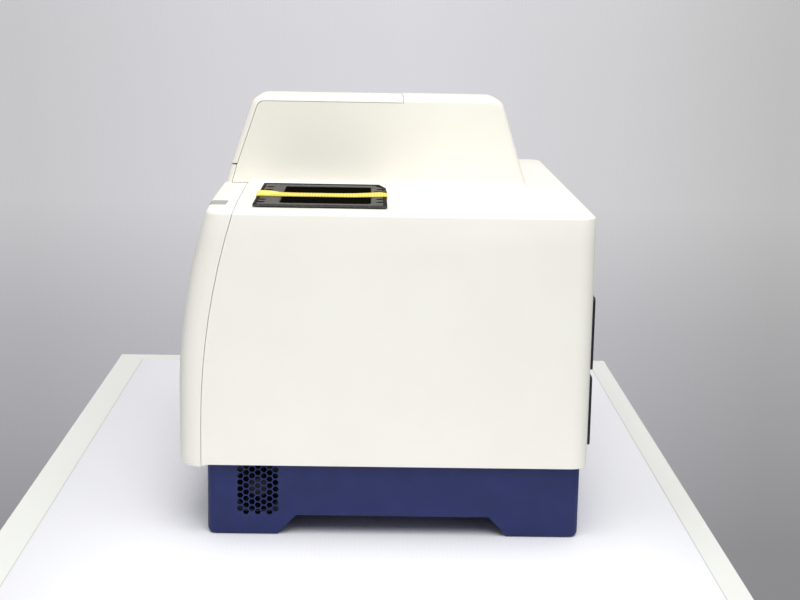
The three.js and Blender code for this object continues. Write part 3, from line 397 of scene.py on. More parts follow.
print("edges under", round(math.degrees(SOFT_UNDER)), "degrees are shaded smooth")

# %% [markdown]
# ## Blocks and turned shapes
# Three builders cover nearly all the detail pieces. A block starts as a cube and has its edges
# bevelled. A turned shape starts as a profile that is spun round an axis, as on a lathe. A socket
# screw's head starts as a short cylinder: insetting its top face makes the chamfer and the land, and
# one more inset goes down into the hexagonal hole. A boolean could cut that hole too, but insets
# leave clean faces.

# %% Block and turned shape
TURN_TO = {
    "z": Matrix.Identity(4),
    "-z": Matrix.Rotation(math.pi, 4, "X"),
    "y": Matrix.Rotation(-math.pi / 2, 4, "X"),
    "-y": Matrix.Rotation(math.pi / 2, 4, "X"),
    "x": Matrix.Rotation(math.pi / 2, 4, "Y"),
    "-x": Matrix.Rotation(-math.pi / 2, 4, "Y"),
}
JOIN_MM = 1e-4


def add_block(bm, x, y, z, round_by=0.0):
    """A box between two levels along each axis, its edges rounded. Returns a plain box's corners."""
    made = bmesh.ops.create_cube(bm, size=1)["verts"]
    bmesh.ops.scale(bm, vec=(x[1] - x[0], y[1] - y[0], z[1] - z[0]), verts=made)
    bmesh.ops.translate(bm, vec=(middle(x), middle(y), middle(z)), verts=made)
    if round_by:
        edges = list(dict.fromkeys(edge for vert in made for edge in vert.link_edges))
        bmesh.ops.bevel(
            bm, geom=edges, offset=round_by, segments=2, profile=0.5, affect="EDGES", material=-1
        )
        return None
    return made


def add_turned(bm, profile, place, along="z", facets=40):
    """A turned shape: profile points are (radius, distance along the axis from place)."""
    before = set(bm.verts)
    verts = [bm.verts.new((radius, 0, up)) for radius, up in profile]
    edges = [bm.edges.new(pair) for pair in zip(verts, verts[1:])]
    bmesh.ops.spin(
        bm,
        geom=verts + edges,
        cent=(0, 0, 0),
        axis=(0, 0, 1),
        angle=math.tau,
        steps=facets,
        use_merge=True,
    )
    made = [vert for vert in bm.verts if vert not in before]
    bmesh.ops.remove_doubles(bm, verts=made, dist=JOIN_MM)
    made = [vert for vert in bm.verts if vert not in before]
    bmesh.ops.transform(bm, matrix=Matrix.Translation(place) @ TURN_TO[along], verts=made)


def add_disc(bm, place, radius, thick, facets):
    """A plain turned disc, lying flat."""
    add_turned(bm, [(0, 0), (radius, 0), (radius, thick), (0, thick)], place, "z", facets)


def turned(name, profile, place, along, facets, body, slot, material, replaces=()):
    """One turned shape as a finished object."""
    bm = bmesh.new()
    add_turned(bm, profile, place, along, facets)
    piece(name, bm, body, material, replaces)


print("shapes can point along", ", ".join(TURN_TO))

# %% Socket screw
SCREW_FACETS = 12
SCREW_CHAMFER_IN = 0.12
SCREW_CHAMFER_UP = 0.2
SCREW_KEY = 0.52
SCREW_KEY_DEEP = 0.7


def add_screw(bm, place, along="z", radius=2.0, height=1.2):
    """A socket screw's head: a chamfered cap with a hexagonal hole. Place is under the head."""
    before = set(bm.verts)
    side = height * (1 - SCREW_CHAMFER_UP)
    bmesh.ops.create_cone(
        bm, cap_ends=True, segments=SCREW_FACETS, radius1=radius, radius2=radius, depth=side
    )
    cap = [vert for vert in bm.verts if vert not in before]
    bmesh.ops.translate(bm, vec=(0, 0, side / 2), verts=cap)
    faces = {face for vert in cap for face in vert.link_faces}
    top = max(faces, key=lambda face: face.calc_center_median().z)
    to_flat = math.cos(math.pi / SCREW_FACETS)
    chamfer = radius * SCREW_CHAMFER_IN * to_flat
    land = radius * (1 - SCREW_CHAMFER_IN - SCREW_KEY) * to_flat
    up = height * SCREW_CHAMFER_UP
    bmesh.ops.inset_individual(bm, faces=[top], thickness=chamfer, depth=up, use_even_offset=True)
    bmesh.ops.inset_individual(bm, faces=[top], thickness=land, use_even_offset=True)
    for corner in list(top.verts)[::2]:
        corner.co.xy *= math.cos(math.pi / 6)
    bmesh.ops.inset_individual(bm, faces=[top], thickness=0, depth=-height * SCREW_KEY_DEEP)
    made = [vert for vert in bm.verts if vert not in before]
    bmesh.ops.transform(bm, matrix=Matrix.Translation(place) @ TURN_TO[along], verts=made)


def screws(name, body, spots, along="z", radius=2.0, height=1.2, material=ground_steel):
    """Socket screws at several spots as one object."""
    bm = bmesh.new()
    for spot in spots:
        add_screw(bm, spot, along, radius, height)
    piece(name, bm, body, material)


print("a screw of 4 mm has a key of", round(4 * SCREW_KEY * math.cos(math.pi / 6), 1), "mm")

# %% [markdown]
# ## Smooth copies of the moulded shells
# The CAD shells are closed solids whose curves are made of flat strips, while the real covers are
# smooth. Each shell gets a merged copy that is shaded smooth where two faces meet at a small angle.
# Subdividing it would round the seams as well. The copy stands for its node, and the node itself
# goes on serving the simulation.

# %% Smooth copies
SHELL_SOFT_UNDER = math.radians(26)


def merged_copy(name):
    """A CAD node's mesh with the corners of its triangles joined."""
    bm = bmesh.new()
    bm.from_mesh(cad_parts[name].data)
    bmesh.ops.remove_doubles(bm, verts=bm.verts, dist=1e-6)
    bmesh.ops.dissolve_degenerate(bm, edges=bm.edges, dist=1e-7)
    return bm


SHELLS = [
    ("main_cover", "housing", "housing_white", white_abs),
    ("front_panel", "housing", "housing_white", white_abs),
    ("lid", "lid", "housing_white", white_abs),
    ("base_pan", "housing", "base_blue", blue_coat),
    ("status_lens", "housing", "status_grey", status_grey),
]
for name, body, slot, material in SHELLS:
    bm = merged_copy(name)
    shade(bm, SHELL_SOFT_UNDER)
    obj = to_object(name + "_smooth", bm, body, material, [name])
    print(obj.name, len(obj.data.polygons), "faces")

# %% [markdown]
# ## Bevelled copies of the machined parts
# On machined parts every edge is broken by a small chamfer that catches the light. Flat neighbours
# are first dissolved into whole faces, and then the sharp edges are bevelled by a few tenths of a
# millimetre. A bevel in the shader would be quicker, but it leaves the meshes sharp.

# %% Bevelled copies
FLAT_UNDER = math.radians(1)
SHARP_OVER = math.radians(38)


def bevel_edges(bm, width):
    """Flat neighbours become whole faces, and the sharp edges between faces are bevelled."""
    bmesh.ops.dissolve_limit(bm, angle_limit=FLAT_UNDER, verts=bm.verts, edges=bm.edges)
    sharp = [edge for edge in bm.edges if edge.is_manifold and edge.calc_face_angle(0) > SHARP_OVER]
    bmesh.ops.bevel(
        bm,
        geom=sharp,
        offset=width * MM,
        segments=2,
        profile=0.5,
        affect="EDGES",
        clamp_overlap=True,
        material=-1,
    )


BEVELLED = [
    ("housing", "aluminium", raw_aluminium, 0.6, "optics_plate"),
    ("housing", "aluminium", raw_aluminium, 0.5, "stage_column_left stage_column_right stage_base"),
    ("housing", "dark_plastic", filled_plastic, 0.3, "stage_deck"),
    ("housing", "dark_plastic", grey_plastic, 0.6, "illuminator_arm"),
    ("housing", "aluminium", raw_aluminium, 0.5, "focus_column"),
    ("housing", "aluminium", raw_aluminium, 0.4, "cube_rail"),
    ("housing", "aluminium", raw_aluminium, 0.5, "fold_mirror_block"),
    ("housing", "dark_plastic", grey_plastic, 0.4, "tube_lens"),
    ("housing", "dark_plastic", grey_plastic, 0.5, "camera_module"),
    ("housing", "steel", zinc_sheet, 0.4, "power_supply"),
    ("housing", "aluminium", raw_aluminium, 0.3, "electronics_tray"),
    ("housing", "dark_plastic", fan_black, 0.4, "fan_frame"),
    ("housing", "dark_plastic", filled_plastic, 0.3, "hinge_guide_left hinge_guide_right"),
    ("housing", "dark_plastic", filled_plastic, 0.25, "power_inlet"),
    ("housing", "dark_plastic", filled_plastic, 0.2, "switch_bezel"),
    ("y_stage", "dark_anodised", black_anodised, 0.4, "y_carriage"),
    ("x_stage", "dark_anodised", black_anodised, 0.4, "x_carriage"),
    ("focus", "dark_anodised", black_anodised, 0.4, "focus_carriage"),
    ("turret", "dark_anodised", black_anodised, 0.3, "turret"),
    ("cube_slider", "dark_anodised", black_anodised, 0.3, "cube_carriage"),
    ("cube_slider", "dark_plastic", grey_plastic, 0.4, "light_cube_1 light_cube_2 light_cube_3"),
    ("fan", "dark_plastic", fan_black, 0.0, "fan_rotor"),
    ("rocker", "dark_plastic", filled_plastic, 0.2, "power_rocker"),
    ("lid", "steel", ground_steel, 0.2, "hinge_arm_left hinge_arm_right"),
]
for body, slot, material, width, names in BEVELLED:
    for name in names.split():
        bm = merged_copy(name)
        if width:
            bevel_edges(bm, width)
        shade(bm)
        to_object(name + "_bevelled", bm, body, material, [name])
print("bevelled", sum(len(row[-1].split()) for row in BEVELLED), "machined parts")

# %% [markdown]
# ## Rear panels and connections
# Two coated plates cover the cut-outs of the rear wall, each held by four screws. The copies of the
# plates are 0.4 mm thinner than the CAD ones, so that the screw heads end flush with the CAD box. The
# mains inlet holds three blades, and the data ports have the tongues and gold contacts that a plug
# meets.

# %% Rear plates with their screws
PLATE_FACE = 166.6
PLATE_SCREW_INSET = 6

for name in ("rear_upper_panel", "rear_lower_panel"):
    bm = merged_copy(name)
    for vert in bm.verts:
        vert.co.y = min(vert.co.y, PLATE_FACE * MM)
    bevel_edges(bm, 0.3)
    shade(bm)
    to_object(name + "_bevelled", bm, "housing", navy_coat, [name])
    x_span, _, z_span = box_mm(name)
    spots = [
        (x, PLATE_FACE, z)
        for x in inside(x_span, PLATE_SCREW_INSET)
        for z in inside(z_span, PLATE_SCREW_INSET)
    ]
    screws(name + "_screws", "housing", spots, "y", 2.6, 0.38)

# %% Inlet blades and port tongues
BLADES = [(-7, -2), (7, -2), (0, 2.5)]
BLADE_Y = (151.8, 163.5)
inlet_x, _, inlet_z = box_mm("power_inlet")
bm = bmesh.new()
for across, rise in BLADES:
    x = middle(inlet_x) + across
    z = middle(inlet_z) + rise
    add_block(bm, (x - 1, x + 1), BLADE_Y, (z - 2, z + 2), 0.5)
piece("inlet_blades", bm, "housing", nickel)

bm = bmesh.new()
for z in (166.4, 174.4):
    add_block(bm, (83, 93), (155.8, 165.6), (z, z + 1.6), 0.2)
add_block(bm, (107, 117), (153.8, 158), (164.2, 171.8), 0.3)
piece("port_tongues", bm, "housing", grey_plastic)

# %% Contacts of the ports
bm = bmesh.new()
for z in (166.2, 174.2):
    for k in range(4):
        add_block(bm, (84.4 + 2.2 * k, 85.4 + 2.2 * k), (157, 165), (z, z + 0.3))
for k in range(8):
    add_block(bm, (107.8 + k * 1.1, 108.3 + k * 1.1), (157.5, 164), (170.6, 171.0))
piece("port_contacts", bm, "housing", gold_pin)

# %% [markdown]
# ## Marks on the power switch
# A bar means on and a ring means off, printed in white on the rocker's face. The rocker rests
# tilted, so the marks are drawn on a level face and then turned with it.

# %% Marks on the rocker
SWITCH_PIVOT = (128, 161, 102)
SWITCH_TILT = math.radians(9)
MARK_FACE = 4.0
MARK_THICK = 0.3

# Printing ink: flat and a little off white.
mark_white = finish("printed_mark_white", Base_Color=linear("#e9e9e6"), Roughness=0.5)
mark_top = MARK_FACE + MARK_THICK
bm = bmesh.new()
add_block(bm, (-0.35, 0.35), (MARK_FACE, mark_top), (3.0, 6.4))
ring = [(1.5, MARK_FACE), (1.5, mark_top), (2.0, mark_top), (2.0, MARK_FACE), (1.5, MARK_FACE)]
add_turned(bm, ring, (0, 0, -4.6), "y", 24)
bmesh.ops.rotate(bm, cent=(0, 0, 0), matrix=Matrix.Rotation(SWITCH_TILT, 3, "X"), verts=bm.verts)
bmesh.ops.translate(bm, vec=SWITCH_PIVOT, verts=bm.verts)
piece("rocker_marks", bm, "rocker", mark_white)

# %% [markdown]
# ## Objectives and their turret
# An objective is a stack of turned rings. Knurling is drawn as fine grooves round the barrel, and a
# coloured ring tells the magnification, as on all microscopes. The front lens is a shallow dome of
# coated glass in its cell. Each copy keeps inside its CAD outline and takes that node's place.

# %% Objectives
NOSES = [(6, "#2f6fb0"), (8, "#3f9a4b"), (9, "#e0c23a"), (10, "#b8352c")]
SEAT_R = 10.8
GROOVES = 10
GROOVE_PITCH = 1.1
GROOVE_DEEP = 0.4
BARREL_FACETS = 48


def objective_profile(barrel, nose, length):
    """Half the outline of an objective, from its seat to its front cell."""
    profile = [(0, 0), (SEAT_R, 0), (SEAT_R, 3), (barrel - 0.4, 3), (barrel, 3.5), (barrel, 7)]
    for groove in range(GROOVES):
        up = 7.6 + groove * GROOVE_PITCH
        profile += [(barrel, up), (barrel - GROOVE_DEEP, up + 0.35), (barrel, up + 0.7)]
    profile += [(barrel, length - 22), (barrel - 1, length - 21), (barrel - 1, length - 12)]
    profile += [(nose + 1, length - 3), (nose, length - 0.2), (nose - 1.4, length)]
    profile += [(nose - 1.8, length - 1), (0, length - 1)]
    return profile


for k, (nose, colour) in enumerate(NOSES, start=1):
    x_span, y_span, (seat, tip) = box_mm(f"objective_{k}")
    x, y = middle(x_span), middle(y_span)
    barrel = (x_span[1] - x_span[0]) / 2
    name = f"objective_{k}"
    profile = objective_profile(barrel, nose, tip - seat)
    steel_part = (BARREL_FACETS, "turret", "steel")
    turned(name + "_barrel", profile, (x, y, seat), "z", *steel_part, satin_chrome, [name])
    # Enamel in the ring's groove: an even colour with a soft gloss.
    ring_paint = finish(f"magnification_ring_{k}", Base_Color=linear(colour), Roughness=0.4)
    out = barrel - 0.95
    ring = [(out - 0.6, 0), (out, 0.1), (out, 2.3), (out - 0.6, 2.4), (out - 0.6, 0)]
    turned(name + "_ring", ring, (x, y, tip - 19), "z", *steel_part, ring_paint)
    dome = [(0, 0), (nose - 1.9, 0), (nose - 3, 0.3), (0, 0.6)]
    turned(name + "_lens", dome, (x, y, tip - 0.98), "z", 32, "turret", "clear_glass", lens_glass)

# %% Turret hub cap and knurled rim
HUB_CAP = [(0, 0), (8.5, 0), (8.5, 1.6), (7.5, 2.4), (3, 2.4), (2.4, 1.6), (0, 1.6)]
HUB_Z = 174
KNURL_TEETH = 72
KNURL_R = 49.7
KNURL_Z = 163.5
turret_x, turret_y = [middle(span) for span in box_mm("turret")[:2]]

turned("turret_hub_cap", HUB_CAP, (turret_x, turret_y, HUB_Z), "z", 32, "focus", "steel", satin_chrome)
bm = bmesh.new()
for k in range(KNURL_TEETH):
    made = add_block(bm, (-0.45, 0.45), (-0.6, 0.6), (-2, 2))
    turn = Matrix.Rotation(math.tau * k / KNURL_TEETH, 4, "Z")
    at = Matrix.Translation((turret_x, turret_y, KNURL_Z)) @ turn @ Matrix.Translation((KNURL_R, 0, 0))
    bmesh.ops.transform(bm, matrix=at, verts=made)
piece("turret_knurl", bm, "turret", black_anodised)

# %% [markdown]
# ## Light cubes
# Each light cube carries a filter over its light path and a lamp behind a collimator lens, both held
# by turned rings. The three filters pass different colours.

# %% Filters and lamps of the cubes
FILTERS = ["#3b6fd6", "#39b06a", "#d8542f"]
CUBE_SCREW_OUT = 14

for k, colour in enumerate(FILTERS, start=1):
    x_span, y_span, (foot, top) = box_mm(f"light_cube_{k}")
    x, y, z = middle(x_span), middle(y_span), (foot + top) / 2
    # Interference filter: a mirror-smooth plate in the colour that it passes.
    glass = finish(f"interference_filter_{k}", Base_Color=linear(colour), Roughness=0.05, IOR=1.6)
    bm = bmesh.new()
    add_disc(bm, (x, y, top - 2.7), 9.4, 1.2, 32)
    add_turned(bm, [(0, 0), (6.6, 0), (5.5, 1.4), (0, 2)], (x, y - 13.5, z), "-y", 32)
    piece(f"cube_filter_{k}", bm, "cube_slider", glass)
    filter_ring = [(9.5, 0), (10.9, 0), (10.9, 2.2), (9.5, 2.2), (9.5, 0)]
    lamp_ring = [(6.7, 0), (7.9, 0), (7.9, 2.4), (6.7, 2.4), (6.7, 0)]
    bm = bmesh.new()
    add_turned(bm, filter_ring, (x, y, top - 2.9), "z", 32)
    add_turned(bm, lamp_ring, (x, y - 14, z), "-y", 32)
    piece(f"cube_rings_{k}", bm, "cube_slider", satin_chrome)
    outs = (-CUBE_SCREW_OUT, CUBE_SCREW_OUT)
    spots = [(x + dx, y + dy, top) for dx in outs for dy in outs]
    screws(f"cube_screws_{k}", "cube_slider", spots, "z", 1.4, 0.9)

# %% [markdown]
# ## Tube lens, camera and lamp
# The tube lens sits between clamping rings on the light path to the camera. The illuminator's lamp
# shines through a disc of opal plastic, which spreads its light.

# %% Tube lens rings, camera screws and lamp
LIGHT_AXIS = (-82, -20)
BEAM_Z = 68
TUBE_R = 14.05

bm = bmesh.new()
for at in (-139.5, -110.6, -104):
    ring = [(TUBE_R, 0), (14.4, 0.2), (14.4, 1.6), (TUBE_R, 1.8), (TUBE_R, 0)]
    add_turned(bm, ring, (at, LIGHT_AXIS[1], BEAM_Z), "x")
piece("tube_lens_rings", bm, "housing", satin_chrome)

dome = [(0, 0), (11, 0), (8, 0.8), (0, 1.4)]
place = (-100.9, LIGHT_AXIS[1], BEAM_Z)
turned("tube_lens_glass", dome, place, "x", 40, "housing", "clear_glass", lens_glass)
screws("camera_screws", "housing", [(-150, -39, 90), (-150, -1, 90)], "z", 1.4, 0.9)

# Opal plastic: milky white with a soft gloss.
diffuser_white = finish("opal_diffuser", Base_Color=linear("#eeeeea"), Roughness=0.4, IOR=1.5)
opal_disc = [(0, 0), (13, 0), (13.5, -0.2), (13.5, 0.4), (0, 0.4)]
place = (*LIGHT_AXIS, 281.5)
turned("lamp_diffuser", opal_disc, place, "z", 40, "housing", "clear_glass", diffuser_white)
screws("arm_screws", "housing", [(x, y, 321) for x in (-96, -68) for y in (82, 94)], "z", 2.4, 1.8)

# %% [markdown]
# ## Stage drive
# The motors are small steppers: a dark stack of laminations between two cast end caps, with a screw
# in each corner. Each replaces its CAD block. Three rounded blocks show that, where a single one with
# a painted stripe would look flat at its corners.

# %% Stepper motors
# Stamped steel sheets, lacquered: dark, with fine lines between the sheets.
lamination = finish("motor_laminations", Base_Color=linear("#26272b"), Metallic=0.4, Roughness=0.5)
grain(lamination, 0.8, 0.05, (0.1, 1, 0.1))
CAP_ROUND = 1.4
STACK_INSET = 0.4
CORNER_SCREW_IN = 2.6
SCREW_SUNK = 0.6


def stepper(name, body, spans, axis, cap_mm, screw_along):
    """A motor in a box: end caps along an axis, laminations between them."""
    low_end, high_end = spans[axis]
    caps, stack = bmesh.new(), bmesh.new()
    for part, start, end, inset in [
        (caps, low_end, low_end + cap_mm, 0),
        (stack, low_end + cap_mm, high_end - cap_mm, STACK_INSET),
        (caps, high_end - cap_mm, high_end, 0),
    ]:
        box = [inside(span, inset) for span in spans]
        box[axis] = (start, end)
        add_block(part, *box, CAP_ROUND)
    piece(name + "_caps", caps, body, raw_aluminium)
    piece(name + "_stack", stack, body, lamination, [name])
    corners = [inside(span, CORNER_SCREW_IN) for span in spans]
    end = low_end + SCREW_SUNK if screw_along.startswith("-") else high_end - SCREW_SUNK
    corners[axis] = (end,)
    spots = [(x, y, z) for x in corners[0] for y in corners[1] for z in corners[2]]
    screws(name + "_screws", body, spots, screw_along, 1.3, 0.55)


stepper("y_motor", "housing", box_mm("y_motor"), 1, 7, "y")
stepper("x_motor", "y_stage", box_mm("x_motor"), 0, 5, "x")

# %% Focus motor and its shaft
FOCUS_MOTOR_TOP = 92
focus_x, focus_y, (focus_foot, shaft_top) = box_mm("focus_motor")
stepper("focus_motor", "housing", [focus_x, focus_y, (focus_foot, FOCUS_MOTOR_TOP)], 2, 6, "-z")
shaft_foot = FOCUS_MOTOR_TOP - 1
shaft = [(0, shaft_foot), (2.5, shaft_foot), (2.5, shaft_top - 0.4), (2.1, shaft_top), (0, shaft_top)]
turned("focus_shaft", shaft, (LIGHT_AXIS[0], 68, 0), "z", 24, "housing", "steel", ground_steel)

# %% [markdown]
# ## Bearings, clip and screws of the stage
# The carriage rolls on its rails with bearing blocks that reach down on both sides of the rail. A
# bent spring lever in one corner holds the vessel, and socket screws hold the plates together.

# %% Bearing blocks
BEARING_SIDES = [(-9.5, -5.3), (5.3, 9.5)]
BEARING_HALF = 15
BEARING_Z = (227.4, 232.55)

bm = bmesh.new()
for rail in ("y_rail_left", "y_rail_right"):
    x = middle(box_mm(rail)[0])
    for y in (-65, 25):
        for start, end in BEARING_SIDES:
            add_block(bm, (x + start, x + end), (y - BEARING_HALF, y + BEARING_HALF), BEARING_Z, 0.5)
piece("y_bearings", bm, "y_stage", zinc_sheet)

# %% Vessel clip and the carriage's screws
CLIP_Z = (254.3, 255.6)
CARRIAGE_SCREW_INSET = 8

x_span, y_span, (_, top) = box_mm("x_carriage")
lines = (*inside(x_span, CARRIAGE_SCREW_INSET), middle(x_span))
spots = [(x, y, top) for x in lines for y in inside(y_span, CARRIAGE_SCREW_INSET)]
screws("x_carriage_screws", "x_stage", spots, "z", 2.2, 1.6)

bm = bmesh.new()
add_block(bm, (-2.5, 9.5), (35.5, 39.5), CLIP_Z, 0.5)
add_block(bm, (-2.5, 0.5), (22, 39.5), CLIP_Z, 0.5)
piece("vessel_clip", bm, "x_stage", ground_steel)
screws("vessel_clip_pivot", "x_stage", [(7, 37.5, CLIP_Z[1])], "z", 2.0, 1.4)

# %% Screws of the deck and the stage base
deck_top = box_mm("stage_deck")[2][1]
spots = [(x, y, deck_top) for x in (-181, 16) for y in (-120, 0, 118)]
screws("deck_screws", "housing", spots, "z", 2.4, 1.3)
base_top = box_mm("stage_base")[2][1]
spots = [(x, y, base_top) for x in (-204, -158) for y in (-112, 92)]
screws("stage_base_screws", "housing", spots, "z", 2.6, 0.25)

# %% [markdown]
# ## Tapped holes of the optics plate
# An optics plate has a grid of tapped holes, 25 mm apart. Cutting over a hundred bores would cost
# many faces that nobody sees, so each is a thin dark disc on the surface.

# %% Tapped holes
HOLE_PITCH = 25
HOLE_R = 2.4
# The inside of a threaded bore: nothing but shadow.
bore_black = finish("tapped_hole_shadow", Base_Color=linear("#141416"), Roughness=0.9)
plate_top = box_mm("optics_plate")[2][1]
bm = bmesh.new()
for k in range(11):
    for j in range(10):
        spot = (-200 + HOLE_PITCH * k, -112 + HOLE_PITCH * j, plate_top)
        add_disc(bm, spot, HOLE_R, 0.06, 12)
piece("optics_plate_holes", bm, "housing", bore_black)

# %% [markdown]
# ## Control board
# The CAD board is one green solid. Thin shells over its blocks show what they are: a cooler with
# fins, black chips, a transformer and white sockets. Rows of small parts are placed by loops over a
# grid, and one in three is left out, so that the pattern isn't too even.

# %% Blocks on the board
BOARD_TOP = 67.6
SKIN = 0.1
# Moulded chip packages: fine and matt. Nylon: warm white and waxy. Ferrite: dull grey-brown.
chip_black = finish("epoxy_package_black", Base_Color=linear("#1a1a1c"), Roughness=0.55)
socket_white = finish("nylon_socket_white", Base_Color=linear("#dcd9cf"), Roughness=0.5)
ferrite = finish("transformer_ferrite", Base_Color=linear("#34302e"), Roughness=0.7)
# Drawn aluminium cans: bright, with a soft reflection.
can_aluminium = finish("capacitor_can", Base_Color=linear("#b9bcc0"), Metallic=0.9, Roughness=0.3)
COVERED = [
    ("board_socket_front", (100, 118), (-60, -30), 74, socket_white),
    ("board_socket_rear", (104, 120), (40, 90), 79, socket_white),
    ("board_transformer", (180, 204), (-50, 10), 76, ferrite),
    ("board_processor", (150, 190), (60, 90), 71, chip_black),
    ("board_driver", (130, 165), (-75, -50), 72, chip_black),
]
for name, x, y, top, material in COVERED:
    bm = bmesh.new()
    add_block(bm, inside(x, -SKIN), inside(y, -SKIN), (BOARD_TOP, top + SKIN), 0.4)
    piece(name, bm, "housing", material)

# %% Cooler with its fins
FINS = [(131, 133.6), (137.6, 140.8), (144.8, 148), (152, 155.2), (159.2, 162.4), (166.4, 169)]
COOLER_Y = (-19.1, 19.1)
bm = bmesh.new()
for fin in FINS:
    add_block(bm, inside(fin, -SKIN), COOLER_Y, (BOARD_TOP, 84), 0.3)
add_block(bm, (130.9, 169.1), COOLER_Y, (BOARD_TOP, 72.1))
piece("board_cooler", bm, "housing", raw_aluminium)

# %% Small parts, capacitors and pins
PIN_PITCH = 2.54
PIN_HALF = 0.3
PROCESSOR_ZONE = ((149, 191), (59, 91))

chips, cans, pins = bmesh.new(), bmesh.new(), bmesh.new()
for k in range(9):
    for j in range(12):
        x, y = 124 + 6.2 * k, 22 + 2.8 * j
        (x0, x1), (y0, y1) = PROCESSOR_ZONE
        if (k + 2 * j) % 3 and not (x0 < x < x1 and y0 < y < y1):
            add_block(chips, (x, x + 2.2), (y, y + 1.3), (BOARD_TOP, BOARD_TOP + 0.8))
can = [(0, 0), (2.5, 0), (2.5, 6.8), (2.2, 7.2), (0, 7.2)]
for k in range(5):
    add_turned(cans, can, (176 + 5.5 * (k % 2), 20 + 7 * k, BOARD_TOP), "z", 20)
for k in range(20):
    for j in range(2):
        x, y = 140 + PIN_PITCH * k, 98 + PIN_PITCH * j
        add_block(pins, inside((x, x), -PIN_HALF), inside((y, y), -PIN_HALF), (BOARD_TOP, BOARD_TOP + 8))
add_block(chips, (138, 190.5), (96, 102.8), (BOARD_TOP, BOARD_TOP + 2.5), 0.2)
piece("board_small_parts", chips, "housing", chip_black)
piece("board_capacitors", cans, "housing", can_aluminium)
piece("board_pins", pins, "housing", gold_pin)
spots = [(x, y, BOARD_TOP) for x in (98, 202) for y in (-84, 104)]
screws("board_screws", "housing", spots, "z", 2.6, 1.8)

# %% [markdown]
# ## Fan and power supply
# The fan's hub carries a plate on the side of the vent, and four screws hold its frame. The power
# supply is a closed metal box with a row of terminal blocks at one end.

# %% Fan hub, fan screws and supply terminals
HUB_PLATE = [(0, 0), (7.4, 0), (7.7, 0.2), (7.7, 0.35), (0, 0.35)]
FAN_SCREW_OUT = 16.5
TERMINALS = 7
TERMINAL_PITCH = 11.5

frame_x, frame_y, frame_z = box_mm("fan_frame")
fan_y, fan_z = middle(frame_y), middle(frame_z)
place = (box_mm("fan_rotor")[0][1], fan_y, fan_z)
turned("fan_hub_plate", HUB_PLATE, place, "x", 32, "fan", "dark_plastic", chip_black)
outs = (-FAN_SCREW_OUT, FAN_SCREW_OUT)
spots = [(frame_x[0], fan_y + dy, fan_z + dz) for dy in outs for dz in outs]
screws("fan_screws", "housing", spots, "-x", 1.9, 1.4)

x_span, y_span, (_, supply_top) = box_mm("power_supply")
bm = bmesh.new()
for k in range(TERMINALS):
    x = x_span[0] + 9 + TERMINAL_PITCH * k
    add_block(bm, (x, x + 9), (y_span[0] - 8, y_span[0] - 0.1), (22, 34), 0.5)
piece("supply_terminals", bm, "housing", chip_black)
spots = [(x, y, supply_top) for x in inside(x_span, 6) for y in inside(y_span, 7)]
screws("supply_screws", "housing", spots, "z", 2.0, 1.2)

# %% [markdown]
# ## Inside the lid, hinges and underside
# A moulded lid has ribs on its inner side, which stiffen it without adding weight. The lid's top is
# slightly crowned, so each rib's height follows the circle of that crown. Screws hold the hinge
# leaves, the hinge guides and the base.

# %% Stiffening ribs inside the lid
CROWN_TOP, CROWN_X, CROWN_R = 344.4, 25, 2000
LID_SKIN_UNDER = 3.1
RIB_DEEP = 4
bm = bmesh.new()
for x in (-160, -135, -85, -55, -25):
    under = CROWN_TOP - (x - CROWN_X) ** 2 / (2 * CROWN_R) - LID_SKIN_UNDER
    add_block(bm, (x - 0.8, x + 0.8), (-108, -6), (under - RIB_DEEP, under + 0.15), 0.3)
piece("lid_ribs", bm, "lid", white_abs)

# %% Hinge screws and screws under the base
screws("leaf_screws_left", "lid", [(x, -20, 333.4) for x in (-115.5, -104.5)], "-z", 1.6, 1.0)
screws("leaf_screws_right", "lid", [(x, -20, 338.4) for x in (-0.5, 10.5)], "-z", 1.6, 1.0)
screws("guide_screws", "housing", [(x, 28, 322) for x in (-115, -105, 0, 10)], "-z", 1.7, 1.2)
pan_foot = box_mm("base_pan")[2][0]
spots = [(x, y, pan_foot) for x in (-150, 0, 150) for y in (-125, 140)]
screws("base_screws", "housing", spots, "-z", 3.0, 0.7, zinc_sheet)

# %% [markdown]
# ## The vessel holder
# The holder's top has a rim that is nearly black and speckled, widest along the far edge, and the sunk
# window has a dark felt lining. Both are thin layers on the plate, because one material that knew
# where the rim is would need a painted mask.

# %% Finishes of the holder
# Worn anodising: where it has rubbed thin, the metal shows as grey specks.
worn_grey = finish("worn_anodising_grey", Base_Color=linear("#454341"), Metallic=0.3, Roughness=0.55)
mottle(worn_grey, "#3a3837", "#54514f", 3.0)
# Nearly black with pale specks: the colour of the plate's dark rim.
dark_speckled_rim = finish(
    "dark_speckled_rim_black", Base_Color=linear("#1d1b1a"), Roughness=0.8, Specular_IOR_Level=0.1
)
mottle(dark_speckled_rim, "#141312", "#5a5856", 3.0, 0.56, 0.66)
# Wool felt: it swallows the light and has no sheen, even at a flat angle. The same black paints the shade
# in the peg slots.
felt = finish("wool_felt_black_and_slot_shade", Base_Color=linear("#14120d"), Roughness=1.0, Specular_IOR_Level=0.0)
mottle(felt, "#0d0c08", "#2a2619", 1.6, 0.6, 0.75)
bm = merged_copy("vessel_holder")
bevel_edges(bm, 0.15)
shade(bm)
to_object("vessel_holder_bevelled", bm, "holder", worn_grey, ["vessel_holder"])
print("holder finishes:", [m.name for m in (worn_grey, dark_speckled_rim, felt)])

# %% Dark rim
HOLDER_TOP = 267.4
RIM = [(46.5, -111), (195, -111), (195, -2.6), (73.5, -2.6), (46.5, -8.6)]
RIM_INSIDE = [(56, -108), (192.5, -108), (192.5, -6), (76, -6), (56, -12.5)]


def add_outline(bm, outline, level):
    """A closed loop of edges through these points at one level."""
    verts = [bm.verts.new((x, y, level)) for x, y in outline]
    return [bm.edges.new(pair) for pair in zip(verts, verts[1:] + verts[:1])]


